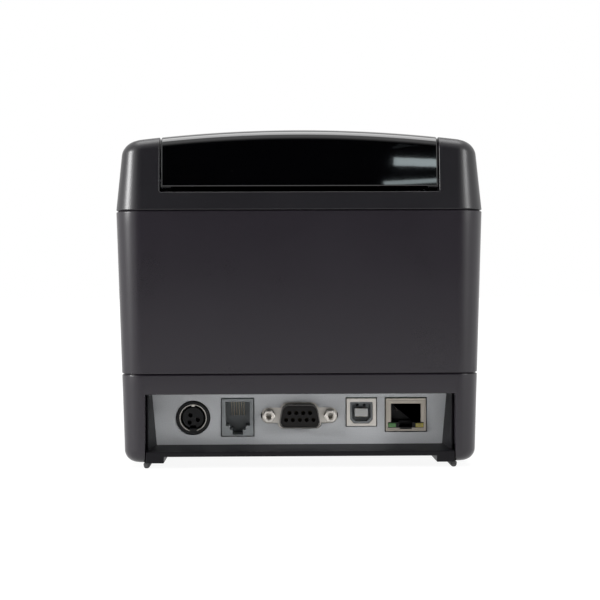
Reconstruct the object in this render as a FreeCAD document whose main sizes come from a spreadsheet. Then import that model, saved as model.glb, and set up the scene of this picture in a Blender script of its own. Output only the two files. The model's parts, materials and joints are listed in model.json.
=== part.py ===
"""Desktop receipt printer for 80 mm thermal paper, in millimetres.

The front, where the paper leaves, faces -Y and the connector recess faces +Y, with +Z up.
The origin is on the table, below the middle of the case.
"""
import FreeCAD
import Part
import Sketcher
import math
import operator
import os
from FreeCAD import Placement, Rotation, Vector

# Driving sizes, in millimetres and degrees.
SIZES = {
    # Case
    "body_width": 146.0,
    "body_depth": 188.0,
    "foot_height": 2.2,
    "base_height": 35.4,
    "mid_height": 64.6,
    "top_height": 32.45,
    "draft_angle": 1.75,
    "lean_angle": 6.0,
    "corner_radius": 11.0,
    "bottom_radius": 5.0,
    "wall": 2.5,
    "seam_gap": 0.5,
    "seam_depth": 0.8,
    "crown_radius": 520.0,
    "roof_slope": 4.0,
    "roof_edge_radius": 5.2,
    # Gaps: between pieces that move apart, in a running bore, and in a pressed bore
    "clearance": 0.3,
    "running_fit": 0.06,
    "press_fit": 0.02,
    # Lid and hinge
    "shoulder_width": 17.4,
    "lid_gap": 1.0,
    "lid_wall": 2.0,
    "rear_band": 7.1,
    "lid_rear_gap": 2.0,
    "hinge_inset": 4.1,
    "hinge_rise": 3.5,
    "hinge_pin_radius": 1.5,
    "hinge_ear_radius": 2.9,
    "paper_slot": 3.0,
    # Connector recess, board and sockets
    "recess_side": 11.6,
    "recess_depth": 22.0,
    "recess_top": 27.2,
    "panel_thick": 1.0,
    "chassis_thick": 1.7,
    "board_side": 6.4,
    "board_rise": 19.8,
    "board_thick": 1.6,
    "outer_socket": 43.35,
    "inner_socket": 25.2,
    "socket_depth": 15.0,
    "jackscrew_spacing": 24.99,
    # Print mechanism
    "platen_setback": 34.0,
    "platen_drop": 17.63,
    "platen_radius": 6.3,
    "platen_end_gap": 4.0,
    "shaft_radius": 2.5,
    "bush_radius": 4.5,
    "plate_inset": 10.6,
    "plate_thick": 2.0,
    "shelf_drop": 42.2,
    "gear_module": 0.8,
    "gear_width": 4.0,
    "backlash": 0.2,
    "idler_lean": 15.0,
    "motor_lean": 40.0,
    "cutter_setback": 14.0,
    "spring_length": 9.7,
    "tear_height": 1.62,
    # Paper bin
    "roll_radius": 40.0,
    "bin_gap": 8.04,
    "bin_drop": 18.2,
    # Controls on the shoulders
    "control_inset": 10.9,
    "button_width": 5.8,
}

PLATEN_TEETH = 22
IDLER_TEETH = 28
PINION_TEETH = 12
CUTTER_TEETH = 20
CUTTER_IDLER_TEETH = 24
PRESSURE_ANGLE = math.radians(20)


class Size:
    """A length that carries its sheet formula and its present value."""

    def __init__(self, text, value):
        self.text = text
        self.value = value

    def __add__(self, other):
        return joined(self, "+", other)

    def __radd__(self, other):
        return joined(other, "+", self)

    def __sub__(self, other):
        return joined(self, "-", other)

    def __rsub__(self, other):
        return joined(other, "-", self)

    def __mul__(self, other):
        return joined(self, "*", other)

    def __rmul__(self, other):
        return joined(other, "*", self)

    def __truediv__(self, other):
        return joined(self, "/", other)

    def __neg__(self):
        return joined(0, "-", self)


OPERATIONS = {"+": operator.add, "-": operator.sub, "*": operator.mul, "/": operator.truediv}


def as_size(value):
    if isinstance(value, Size):
        return value
    return Size(f"({float(value)!r})", float(value))


def joined(left, sign, right):
    left = as_size(left)
    right = as_size(right)
    return Size(f"({left.text} {sign} {right.text})", OPERATIONS[sign](left.value, right.value))


def number(value):
    return as_size(value).value


def sine(angle):
    return Size(f"sin({angle.text})", math.sin(math.radians(angle.value)))


def cosine(angle):
    return Size(f"cos({angle.text})", math.cos(math.radians(angle.value)))


def root(value):
    return Size(f"sqrt({value.text})", math.sqrt(value.value))


def tangent(angle):
    return Size(f"tan({angle.text})", math.tan(math.radians(angle.value)))


class Sheet:
    """The spreadsheet's cells by name."""


doc = FreeCAD.newDocument("receipt_printer")
cells = doc.addObject("Spreadsheet::Sheet", "Sizes")
size = Sheet()
for row, (alias, value) in enumerate(SIZES.items(), start=1):
    cells.set(f"A{row}", alias)
    cells.set(f"B{row}", str(value))
    cells.setAlias(f"B{row}", alias)
    setattr(size, alias, Size(f"Sizes.{alias}", value))
doc.recompute()

pieces = []


def bind(target, name, value):
    target.setExpression(name, as_size(value).text)


def piece(label, source=None):
    """A body that is a piece of the printer, built up from nothing or from another shape."""
    body = tool(label, source)
    pieces.append(body)
    return body


def tool(label, source=None):
    body = doc.addObject("PartDesign::Body", label)
    body.Label = label
    if source is not None:
        body.BaseFeature = source
    return body


def combined(kind, base, other):
    result = doc.addObject(f"Part::{kind}", f"{base.Name}_{kind}")
    result.Base = base
    result.Tool = other
    return result


def both_sides(side, inner, outer):
    """The x range from inner to outer on one side of the middle."""
    if side > 0:
        return inner, outer
    return -outer, -inner


def centred(middle, width):
    return middle - width / 2, middle + width / 2


def place(feature, x, y, z):
    for axis, value in zip("xyz", (x, y, z)):
        bind(feature, f"Placement.Base.{axis}", value)


def block(body, x, y, z, cut=False):
    kind = "Subtractive" if cut else "Additive"
    box = body.newObject(f"PartDesign::{kind}Box", "Block")
    bind(box, "Length", x[1] - x[0])
    bind(box, "Width", y[1] - y[0])
    bind(box, "Height", z[1] - z[0])
    place(box, x[0], y[0], z[0])


TURNS = {"x": Rotation(Vector(0, 1, 0), 90), "y": Rotation(Vector(1, 0, 0), -90), "z": Rotation()}


def rod(body, axis, middle, radius, span, cut=False):
    """A round rod along an axis; middle holds the other two coordinates in x, y, z order."""
    kind = "Subtractive" if cut else "Additive"
    cylinder = body.newObject(f"PartDesign::{kind}Cylinder", "Rod")
    cylinder.Placement = Placement(Vector(), TURNS[axis])
    bind(cylinder, "Radius", radius)
    bind(cylinder, "Height", span[1] - span[0])
    place(cylinder, *point_on(axis, span[0], middle))


def point_on(axis, along, middle):
    return {"x": (along, *middle), "y": (middle[0], along, middle[1]), "z": (*middle, along)}[axis]


def origin_plane(body, role):
    return [feature for feature in body.Origin.OriginFeatures if feature.Role == role][0]


def sketch_on(body, plane, offset):
    """A sketch on a plane parallel to one of the body's own; XZ sketches face -Y."""
    sketch = body.newObject("Sketcher::SketchObject", "Outline")
    sketch.AttachmentSupport = (origin_plane(body, f"{plane}_Plane"), [""])
    sketch.MapMode = "FlatFace"
    bind(sketch, "AttachmentOffset.Base.z", -offset if plane == "XZ" else offset)
    return sketch


def fix(sketch, kind, geometry, point, value):
    """Hold one coordinate of a point at a sheet formula."""
    index = sketch.addConstraint(Sketcher.Constraint(kind, -1, 1, geometry, point, number(value)))
    bind(sketch, f"Constraints[{index}]", value)


def fix_radius(sketch, arc, value):
    index = sketch.addConstraint(Sketcher.Constraint("Radius", arc, number(value)))
    bind(sketch, f"Constraints[{index}]", value)


def outline(sketch, corners):
    """A closed loop through (x, y) corners, or (x, y, radius) where a corner is round."""
    count = len(corners)
    points = [Vector(number(corner[0]), number(corner[1]), 0) for corner in corners]
    starts = []
    ends = []
    centres = []
    for i, corner in enumerate(corners):
        before = (points[i - 1] - points[i]).normalize()
        after = (points[(i + 1) % count] - points[i]).normalize()
        if len(corner) < 3:
            starts.append(points[i])
            ends.append(points[i])
            centres.append(None)
            continue
        half_angle = math.acos(max(-1, min(1, before.dot(after)))) / 2
        radius = number(corner[2])
        starts.append(points[i] + before * (radius / math.tan(half_angle)))
        ends.append(points[i] + after * (radius / math.tan(half_angle)))
        centres.append(points[i] + (before + after).normalize() * (radius / math.sin(half_angle)))
    lines = [sketch.addGeometry(Part.LineSegment(ends[i], starts[(i + 1) % count])) for i in range(count)]
    for i, corner in enumerate(corners):
        before = lines[i - 1]
        after = lines[i]
        if centres[i] is None:
            sketch.addConstraint(Sketcher.Constraint("Coincident", before, 2, after, 1))
            held = after
        else:
            arc, first, last = corner_arc(sketch, centres[i], starts[i], ends[i], number(corner[2]))
            sketch.addConstraint(Sketcher.Constraint("Tangent", before, 2, arc, first))
            sketch.addConstraint(Sketcher.Constraint("Tangent", arc, last, after, 1))
            fix_radius(sketch, arc, corner[2])
            held = sketch.addGeometry(Part.Point(points[i]), True)
            sketch.addConstraint(Sketcher.Constraint("PointOnObject", held, 1, before))
            sketch.addConstraint(Sketcher.Constraint("PointOnObject", held, 1, after))
        fix(sketch, "DistanceX", held, 1, corner[0])
        fix(sketch, "DistanceY", held, 1, corner[1])


def corner_arc(sketch, centre, start, end, radius):
    """The arc from start to end, with the numbers of its end points in that order."""
    left_turn = (start - centre).cross(end - centre).z > 0
    first, last = (start, end) if left_turn else (end, start)
    low = math.atan2(first.y - centre.y, first.x - centre.x)
    high = math.atan2(last.y - centre.y, last.x - centre.x)
    if high < low:
        high += 2 * math.pi
    arc = sketch.addGeometry(Part.ArcOfCircle(Part.Circle(centre, Vector(0, 0, 1), radius), low, high))
    return (arc, 1, 2) if left_turn else (arc, 2, 1)


def prism(body, plane, loops, span, cut=False):
    """Extrude closed loops, drawn in a plane, between two positions along its axis."""
    at_end = (plane == "XZ") != cut
    sketch = sketch_on(body, plane, span[1] if at_end else span[0])
    for loop in loops:
        outline(sketch, loop)
    feature = body.newObject(f"PartDesign::{'Pocket' if cut else 'Pad'}", "Prism")
    feature.Profile = sketch
    bind(feature, "Length", span[1] - span[0])


def loft(body, plane, sections, cut=False):
    """A straight-sided solid through (position, corners) sections on parallel planes."""
    sketches = []
    for offset, corners in sections:
        sketch = sketch_on(body, plane, offset)
        outline(sketch, corners)
        sketches.append(sketch)
    feature = body.newObject(f"PartDesign::{'Subtractive' if cut else 'Additive'}Loft", "Loft")
    feature.Profile = sketches[0]
    feature.Sections = sketches[1:]
    feature.Ruled = True


def round_edges(body, radius, chosen):
    """Round the edges whose bounding box the test picks."""
    doc.recompute()
    base = body.Tip
    names = [f"Edge{i}" for i, edge in enumerate(base.Shape.Edges, start=1) if chosen(edge.BoundBox)]
    feature = body.newObject("PartDesign::Fillet", "Rounding")
    feature.Base = (base, names)
    bind(feature, "Radius", radius)


def rectangle(half_x, half_y, radius):
    return [(sx * half_x, sy * half_y, radius) for sx, sy in ((-1, -1), (1, -1), (1, 1), (-1, 1))]


def box_loop(x, y):
    return [(x[0], y[0]), (x[1], y[0]), (x[1], y[1]), (x[0], y[1])]


# Places that follow from the sizes.
front = -size.body_depth / 2
rear = size.body_depth / 2
half_width = size.body_width / 2
lower_seam = size.foot_height + size.base_height
upper_seam = lower_seam + size.mid_height
roof_top = upper_seam + size.top_height
lid_half = half_width - size.shoulder_width
recess_half = half_width - size.recess_side
plate_inner = lid_half - size.plate_inset
plate_outer = plate_inner + size.plate_thick
strip_half = plate_inner - size.platen_end_gap
SIDES = (-1, 1)


def roof_at(x, y):
    """Height of the crowned roof, which falls towards the front."""
    return roof_top - (rear - y) * tangent(size.roof_slope) - as_size(x) * x / (2 * size.crown_radius)


def gear_distance(teeth, other_teeth):
    return size.gear_module * ((teeth + other_teeth) / 2)


platen_y = front + size.platen_setback
platen_z = roof_at(0, platen_y) - size.platen_drop
feed_reach = gear_distance(PLATEN_TEETH, IDLER_TEETH)
idler_y = platen_y + feed_reach * sine(size.idler_lean)
idler_z = platen_z - feed_reach * cosine(size.idler_lean)
motor_reach = gear_distance(IDLER_TEETH, PINION_TEETH)
pinion_y = idler_y + motor_reach * sine(size.motor_lean)
pinion_z = idler_z - motor_reach * cosine(size.motor_lean)
shelf_top = upper_seam - size.shelf_drop
blade_z = platen_z + size.platen_radius + 2.3
frame_front = front + 6
frame_rear = pinion_y + 14.5
frame_top = blade_z + 1 + size.clearance
bracket_top = frame_top + 1.2


def drawn_in(height):
    """How far the drafted walls stand in from the upper seam at a height below it."""
    return (upper_seam - height) * tangent(size.draft_angle)


def side_at(height):
    return half_width - drawn_in(height)


def end_at(height):
    return rear - drawn_in(height)


def case_loop(height, inset):
    radius = size.corner_radius - drawn_in(height) - inset
    return rectangle(side_at(height) - inset, end_at(height) - inset, radius)


def drafted(body, start, loop, height, angle, cut=False, upwards=False):
    """Extrude a loop, its walls closing in by an angle, down from its plane or up."""
    sketch = sketch_on(body, "XY", start)
    outline(sketch, loop)
    feature = body.newObject(f"PartDesign::{'Pocket' if cut else 'Pad'}", "Drafted")
    feature.Profile = sketch
    feature.Reversed = not cut and not upwards
    bind(feature, "Length", height)
    bind(feature, "TaperAngle", -angle)


def hull(body, low, high, inset, cut=False):
    drafted(body, high, case_loop(high, inset), high - low, size.draft_angle, cut)


def seam_groove(body, low, high, height):
    """A shadow line round the outside of the case."""
    big = box_loop((-size.body_width, size.body_width), (-size.body_depth, size.body_depth))
    prism(body, "XY", [big, case_loop(height, size.seam_depth)], (low, high), cut=True)


def roof_form(label, inset):
    """The outside of the top of the case, or a copy drawn inwards by inset."""
    body = tool(label)
    loop = rectangle(half_width - inset, rear - inset, size.corner_radius - inset)
    drafted(body, upper_seam, loop, size.top_height + 4, size.lean_angle, upwards=True)
    sketch = sketch_on(body, "XZ", rear)
    bind(sketch, "AttachmentOffset.Base.y", roof_top - inset)
    sketch.AttachmentOffset.Rotation = Rotation(Vector(1, 0, 0), 1)
    bind(sketch, "AttachmentOffset.Rotation.Angle", size.roof_slope)
    crown_outline(sketch, size.crown_radius - inset)
    pocket = body.newObject("PartDesign::Pocket", "Crown")
    pocket.Profile = sketch
    pocket.Midplane = True
    bind(pocket, "Length", 3 * size.body_depth)
    low_edge = number(upper_seam + size.top_height * 0.3)
    round_edges(body, size.roof_edge_radius - inset, lambda box: box.ZMin > low_edge)
    return body


def crown_outline(sketch, radius):
    """Everything above a shallow arc whose top is at the sketch's origin."""
    half = size.body_width * 0.6
    lift = number(size.top_height)
    angle = math.asin(number(half) / number(radius))
    shoulder = number(radius) * (math.cos(angle) - 1)
    circle = Part.Circle(Vector(0, -number(radius), 0), Vector(0, 0, 1), number(radius))
    arc = sketch.addGeometry(Part.ArcOfCircle(circle, math.pi / 2 - angle, math.pi / 2 + angle))
    path = [(half.value, shoulder), (half.value, lift), (-half.value, lift), (-half.value, shoulder)]
    ends = [Vector(*point, 0) for point in path]
    lines = [sketch.addGeometry(Part.LineSegment(a, b)) for a, b in zip(ends, ends[1:])]
    for geometry, point, other, mate in (
        (arc, 1, lines[0], 1), (lines[0], 2, lines[1], 1), (lines[1], 2, lines[2], 1), (lines[2], 2, arc, 2)
    ):
        sketch.addConstraint(Sketcher.Constraint("Coincident", geometry, point, other, mate))
    for line in (lines[0], lines[2]):
        sketch.addConstraint(Sketcher.Constraint("Vertical", line))
    fix(sketch, "DistanceX", arc, 3, 0)
    fix(sketch, "DistanceY", arc, 3, -radius)
    fix_radius(sketch, arc, radius)
    fix(sketch, "DistanceX", lines[1], 1, half)
    fix(sketch, "DistanceX", lines[1], 2, -half)
    fix(sketch, "DistanceY", lines[1], 1, size.top_height)
    fix(sketch, "DistanceY", lines[1], 2, size.top_height)


# Base shell: the drafted lower casing, open below, with the recess for cables in its rear wall.
recess_top = size.foot_height + size.recess_top
panel_face = rear - size.recess_depth
lip_top = size.foot_height + size.wall
floor_top = lip_top + size.chassis_thick
tray_front = front + 12
switch_y = front + 62
switch_z = size.foot_height + 18.8
everywhere = (-2 * size.body_width, 2 * size.body_width)


def tub_form(label, low, inset):
    """The lower casing as a solid with a rounded bottom rim."""
    body = tool(label)
    hull(body, low, lower_seam, inset)
    round_edges(body, size.bottom_radius - inset, lambda box: box.ZMax < number(low) + 0.01)
    return body


base_outer = tub_form("base_outer", size.foot_height, 0)
base_inner = tub_form("base_inner", lip_top, size.wall)
base_shell = piece("base_shell", combined("Cut", base_outer, base_inner))
block(base_shell, (-recess_half, recess_half), (tray_front, rear + 1), (0, lip_top + 1), cut=True)
block(base_shell, (-recess_half, recess_half), (rear - 12, rear + 1), (0, recess_top), cut=True)
rear_wall = end_at(lip_top) - size.wall / 2
block(
    base_shell, (-recess_half - 2, recess_half + 2), (panel_face - 2, rear_wall),
    (recess_top, recess_top + 2),
)
for side in SIDES:
    block(
        base_shell, both_sides(side, recess_half, recess_half + 2), (rear - 10, rear_wall),
        (lip_top + 4, recess_top + 1),
    )
block(
    base_shell, (-half_width, -half_width + 9), centred(switch_y, 19.4), centred(switch_z, 12.8),
    cut=True,
)
seam_groove(base_shell, lower_seam - size.seam_gap, lower_seam, lower_seam)

# Bottom chassis: tray with runners below, the recess floor and cheeks, and pillars for the board.
chassis_half = recess_half - size.clearance
chassis_rear = rear - 3
board_z = floor_top + size.board_rise
board_half = recess_half - size.board_side
board_holes = [(sx * (board_half - 7), y) for sx in SIDES for y in (panel_face - 22, panel_face - 80)]
case_holes = [(sx * (recess_half - 2.9), y) for sx in SIDES for y in (front + 34, panel_face - 42)]

bottom_chassis = piece("bottom_chassis")
block(
    bottom_chassis, (-chassis_half, chassis_half), (tray_front + size.clearance, chassis_rear),
    (lip_top, floor_top),
)
block(
    bottom_chassis, (-recess_half - 1.4, recess_half + 1.4), (tray_front - 1.4, panel_face - 10),
    (lip_top, floor_top),
)
sill = [
    (panel_face, floor_top), (chassis_rear, floor_top), (chassis_rear, floor_top + 0.2),
    (panel_face, floor_top + 1.2),
]
prism(bottom_chassis, "YZ", [sill], (-chassis_half, chassis_half))
cheek_top = recess_top - size.clearance
for side in SIDES:
    block(
        bottom_chassis, both_sides(side, recess_half - 7.4, chassis_half),
        (tray_front + size.clearance, chassis_rear), (size.foot_height, lip_top),
    )
    outer = side * chassis_half
    inner_end = [
        (side * (recess_half - 3.4), floor_top), (outer, floor_top), (outer, cheek_top),
        (side * (recess_half - 1.4), cheek_top),
    ]
    outer_end = [
        (side * (recess_half - 1.1), floor_top), (outer, floor_top), (outer, cheek_top),
        (side * (recess_half - 0.9), cheek_top),
    ]
    loft(bottom_chassis, "XZ", [(panel_face, inner_end), (rear - 8, outer_end)])
for x, y in board_holes:
    rod(bottom_chassis, "z", (x, y), 3.0, (floor_top, board_z))
    rod(bottom_chassis, "z", (x, y), 1.5 + size.press_fit, (board_z - 10, board_z), cut=True)
for x, y in case_holes:
    rod(bottom_chassis, "z", (x, y), 3.2, (size.foot_height - 1, lip_top), cut=True)
    rod(bottom_chassis, "z", (x, y), 1.6, (lip_top - 1, floor_top + 1), cut=True)

# Middle case: plain drafted casing with an inner ledge for the bin and pillars for the case screws.
ledge_top = upper_seam - 3.2
mid_case = piece("mid_case")
hull(mid_case, lower_seam, upper_seam, 0)
hull(mid_case, lower_seam, upper_seam, size.wall, cut=True)
ledge_height = (ledge_top - 3, ledge_top)
ledge_side = side_at(ledge_top) - size.wall
ledge_rear = end_at(ledge_top) - size.wall
for side in SIDES:
    block(mid_case, both_sides(side, ledge_side - 2.5, ledge_side + 1), (front + 56, rear - 20), ledge_height)
block(mid_case, (-half_width + 20, half_width - 20), (ledge_rear - 2.5, ledge_rear + 1), ledge_height)
for x, y in case_holes:
    side = 1 if number(x) > 0 else -1
    rod(mid_case, "z", (x, y), 3.0, (floor_top, shelf_top))
    block(
        mid_case, both_sides(side, recess_half - 2.9, side_at(lower_seam) - size.wall / 2), centred(y, 2),
        (lower_seam + 1, shelf_top),
    )
    rod(mid_case, "z", (x, y), 1.5 + size.press_fit, (floor_top, floor_top + 11), cut=True)
seam_groove(mid_case, upper_seam - size.seam_gap, upper_seam, upper_seam)

# Case screws and feet, under the chassis.
case_screws = piece("case_screws")
for x, y in case_holes:
    rod(case_screws, "z", (x, y), 2.8, (lip_top - 1.7, lip_top))
    rod(case_screws, "z", (x, y), 1.5, (lip_top, floor_top + 9))
    rod(case_screws, "z", (x, y), 1.2, (lip_top - 1.7, lip_top - 0.7), cut=True)

rubber_feet = piece("rubber_feet")
for side in SIDES:
    foot = [
        (side * (recess_half - 1.9), size.foot_height), (side * (recess_half - 1.4), 0),
        (side * (recess_half + 0.6), 0), (side * (recess_half + 1.0), size.foot_height),
    ]
    for y in (front + 14, chassis_rear - 16):
        prism(rubber_feet, "XZ", [foot], (y, y + 14))

# Top bezel: two closed shoulders joined by a low band behind the lid.
opening_half = lid_half + size.lid_gap
band_top = upper_seam + size.rear_band
hinge_y = rear - size.hinge_inset
hinge_z = band_top + size.hinge_rise
lid_bottom = band_top + size.lid_rear_gap
sky = roof_top + 20
control_x = half_width - size.control_inset
release_span = (front + 12, front + 34)
feed_span = (front + 32, front + 44)
lamp_places = [front + 16 + 5 * i for i in range(3)]
control_z = upper_seam + 5.2

bezel_inner = roof_form("bezel_inner", size.wall)
for side in SIDES:
    block(bezel_inner, both_sides(side, opening_half, opening_half + 1.8), everywhere, everywhere, cut=True)
bezel_outer = roof_form("bezel_outer", 0)
top_bezel = piece("top_bezel", combined("Cut", bezel_outer, bezel_inner))
block(top_bezel, (-opening_half, opening_half), (2 * front, rear - 34), (upper_seam - 1, sky), cut=True)
block(top_bezel, (-opening_half, opening_half), (rear - 35, rear + 1), (band_top, sky), cut=True)
for side in SIDES:
    rod(
        top_bezel, "x", (hinge_y, hinge_z), size.hinge_pin_radius + size.press_fit,
        both_sides(side, opening_half - 1, opening_half + 3), cut=True,
    )
button_hole = size.button_width + 2 * size.clearance
for side, span in ((1, release_span), (-1, feed_span)):
    block(
        top_bezel, centred(side * control_x, button_hole),
        (span[0] - size.clearance, span[1] + size.clearance), (upper_seam + 10, sky), cut=True,
    )
for y in lamp_places:
    rod(top_bezel, "z", (-control_x, y), 1.3 + size.press_fit, (upper_seam + 10, sky), cut=True)
for y in (front + 48, front + 29.4):
    rod(top_bezel, "z", (-control_x, y), 1.8, (control_z + 1.6, roof_at(control_x, y) - 1))

# Hinge pins, pressed into the inner walls of the shoulders.
hinge_pins = piece("hinge_pins")
for side in SIDES:
    span = both_sides(side, lid_half - 3.7, opening_half + 3)
    rod(hinge_pins, "x", (hinge_y, hinge_z), size.hinge_pin_radius, span)

# Front cover between the shoulders, in front of the paper slot.
cover_rear = platen_y - 10
lid_front = cover_rear + size.paper_slot
cover_inner = roof_form("cover_inner", size.lid_wall)
cover_outer = roof_form("cover_outer", 0)
for form, inset in ((cover_inner, size.lid_wall), (cover_outer, 0)):
    for side in SIDES:
        block(form, both_sides(side, lid_half - inset, size.body_width), everywhere, everywhere, cut=True)
    block(form, everywhere, (cover_rear - inset, 2 * rear), everywhere, cut=True)
front_cover = piece("front_cover", combined("Cut", cover_outer, cover_inner))
block(
    front_cover, everywhere, (cover_rear - 4, cover_rear + 1), (upper_seam - 1, bracket_top + 1.4), cut=True
)

# Lid: an upside-down tray, flush with the shoulders, with hinge ears at the rear.
lid_inner = roof_form("lid_inner", size.lid_wall)
lid_outer = roof_form("lid_outer", 0)
for form, inset in ((lid_inner, size.lid_wall), (lid_outer, 0)):
    for side in SIDES:
        block(form, both_sides(side, lid_half - inset, size.body_width), everywhere, everywhere, cut=True)
    block(form, everywhere, (2 * front, lid_front + inset), everywhere, cut=True)
block(lid_outer, everywhere, everywhere, (0, lid_bottom), cut=True)


def rear_lower_edge(box):
    return box.XLength > 60 and abs(box.ZMax - lid_bottom.value) < 0.01 and box.YMin > rear.value - 5


round_edges(lid_outer, 1.2, rear_lower_edge)
lid_step = bracket_top + 0.5
block(lid_outer, everywhere, (2 * front, lid_front + 18), (0, lid_step), cut=True)
lid_shell = piece("lid_shell", combined("Cut", lid_outer, lid_inner))
for side in SIDES:
    ear = both_sides(side, lid_half - 4, lid_half)
    rod(lid_shell, "x", (hinge_y, hinge_z), size.hinge_ear_radius, ear)
    bore = both_sides(side, lid_half - 5, lid_half + 1)
    rod(lid_shell, "x", (hinge_y, hinge_z), size.hinge_pin_radius + size.running_fit, bore, cut=True)

# Paper bin: round-bottomed trough hung from a deck on the middle case's ledge, with a shelf in front.
bin_z = upper_seam - size.bin_drop
bin_radius = size.roll_radius + 2
bin_half = strip_half - 0.5
bin_wall = 2
bin_y = frame_rear + size.bin_gap + bin_wall + bin_radius
deck_top = ledge_top + 2.2


def trough(offset, top):
    low = bin_z - bin_radius - offset
    left = bin_y - bin_radius - offset
    right = bin_y + bin_radius + offset
    bend = bin_radius + offset - 0.1
    return [(left, top), (left, low, bend), (right, low, bend), (right, top)]


paper_bin = piece("paper_bin")
bin_outer = bin_half + bin_wall
prism(paper_bin, "YZ", [trough(bin_wall, deck_top)], (-bin_outer, bin_outer))
deck_half = side_at(ledge_top) - size.wall - size.clearance
deck_rear = end_at(ledge_top) - size.wall - size.clearance
deck_bend = size.corner_radius - size.wall
deck_front = bin_y - bin_radius - 20
deck = [
    (-deck_half, deck_front), (deck_half, deck_front), (deck_half, deck_rear, deck_bend),
    (-deck_half, deck_rear, deck_bend),
]
prism(paper_bin, "XY", [deck], (ledge_top, deck_top))
shelf_half = plate_inner + 9
shelf_front = front + 5
shelf_height = bin_z - shelf_top
bin_front = bin_y - root(bin_radius * bin_radius - shelf_height * shelf_height)
block(paper_bin, (-shelf_half, shelf_half), (shelf_front, bin_front), (shelf_top - 2, shelf_top))
for side in SIDES:
    gusset = [(bin_front, shelf_top - 2), (shelf_front + 20, shelf_top - 2), (bin_front, shelf_top - 14)]
    prism(paper_bin, "YZ", [gusset], both_sides(side, bin_half - 2, bin_half))
prism(paper_bin, "YZ", [trough(0, deck_top + 1)], (-bin_half, bin_half), cut=True)

# Paper sensor on the outside of the bin.
paper_sensor = piece("paper_sensor")
block(paper_sensor, (bin_outer, bin_outer + 7), (bin_y - 6, bin_y + 6), (bin_z - 22, bin_z - 12))

# Main board, upside down over the sockets, with its parts and screws.
board_top = board_z + size.board_thick
panel_back = panel_face - size.panel_thick
main_board = piece("main_board")
block(main_board, (-board_half, board_half), (panel_face - 86, panel_back - 0.2), (board_z, board_top))
board_screws = piece("board_screws")
for x, y in board_holes:
    rod(main_board, "z", (x, y), 1.7, (board_z - 1, board_top + 1), cut=True)
    rod(board_screws, "z", (x, y), 1.5, (board_z - 8, board_top))
    rod(board_screws, "z", (x, y), 2.8, (board_top, board_top + 1.8))
board_parts = piece("board_parts")
block(board_parts, (-8, 6), (panel_face - 50, panel_face - 36), (board_top, board_top + 1.6))
block(board_parts, (-22, 22), (panel_face - 84, panel_face - 78), (board_top, board_top + 5))
for x in (26, 38):
    rod(board_parts, "z", (x, panel_face - 40), 5.0, (board_top, board_top + 8))
block(board_parts, (-40, -26), (panel_face - 48, panel_face - 40), (board_top, board_top + 3))

# Sockets, in the order they stand in the panel.
socket_back = panel_face - size.socket_depth
socket_face = panel_face + 0.8
power_x = size.outer_socket
power_z = board_z - 7.7
drawer_x = size.inner_socket
serial_z = board_z - 6.9
usb_x = -size.inner_socket
lan_x = -size.outer_socket
play = 0.15


def under_board(low, high):
    return board_z - low, board_z - high


def d_loop(width, height):
    """The D of a serial socket, wide side down."""
    narrow = width / 2 - height * math.tan(math.radians(10))
    low = serial_z - height / 2
    high = serial_z + height / 2
    return [(-width / 2, low, 2.0), (width / 2, low, 2.0), (narrow, high, 2.0), (-narrow, high, 2.0)]


def usb_loop(inset):
    left = usb_x - 4.6 + inset
    right = usb_x + 4.6 - inset
    low, high = under_board(10.2 - inset, 1.5 + inset)
    return [
        (left, low + 1.6), (left + 1.6, low), (right - 1.6, low), (right, low + 1.6), (right, high),
        (left, high),
    ]


connector_panel = piece("connector_panel")
block(
    connector_panel, (-recess_half + 0.4, recess_half - 0.4), (panel_back, panel_face),
    (floor_top, recess_top - 0.2),
)
through = (panel_back - 1, panel_face + 1)
rod(connector_panel, "y", (power_x, power_z), 6.64 + play, through, cut=True)
for x, width, low in ((drawer_x, 12.8, 15.1), (usb_x, 12.05, 11.3), (lan_x, 16.4, 13.5)):
    block(
        connector_panel, centred(x, width + 2 * play), through, under_board(low + play, -play), cut=True
    )
block(connector_panel, (-15.6, 15.6), through, centred(serial_z, 6.4), cut=True)
prism(connector_panel, "XZ", [d_loop(18.4, 10.5)], through, cut=True)

power_jack_body = piece("power_jack_body")
block(power_jack_body, centred(power_x, 14.3), (socket_back, panel_back), under_board(14.7, 0))
rod(power_jack_body, "y", (power_x, power_z), 6.64, (panel_back - 1, socket_face))
rod(power_jack_body, "y", (power_x, power_z), 5.5, (panel_face - 9, socket_face + 1), cut=True)
rod(power_jack_body, "y", (power_x, power_z), 4.3, (panel_face - 10, panel_face - 0.6))
for dx, dz in ((1.14, 1.06), (1.47, -1.92), (-1.88, -0.82)):
    rod(power_jack_body, "y", (power_x + dx, power_z + dz), 0.85, (panel_face - 7, panel_face), cut=True)
block(
    power_jack_body, centred(power_x, 2.4), (panel_face - 7, panel_face),
    (power_z - 4.6, power_z - 3.2), cut=True,
)
power_jack_ring = piece("power_jack_ring")
rod(power_jack_ring, "y", (power_x, power_z), 5.48, (panel_face - 9, panel_face + 0.6))
rod(power_jack_ring, "y", (power_x, power_z), 4.95, (panel_face - 10, panel_face + 1), cut=True)

drawer_jack = piece("drawer_jack")
block(drawer_jack, centred(drawer_x, 12.8), (socket_back, socket_face), under_board(15.1, 0))
for width, low in ((9.84, 11.0), (6.4, 12.6), (4.2, 14.6)):
    block(
        drawer_jack, centred(drawer_x, width), (panel_face - 11, socket_face + 1),
        under_board(low, 1.2), cut=True,
    )
drawer_contacts = piece("drawer_contacts")
for i in range(6):
    x = drawer_x + (i - 2.5) * 1.02
    block(
        drawer_contacts, centred(x, 0.5), (panel_face - 10.5, panel_face - 2), under_board(2.6, 1.2)
    )

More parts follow.
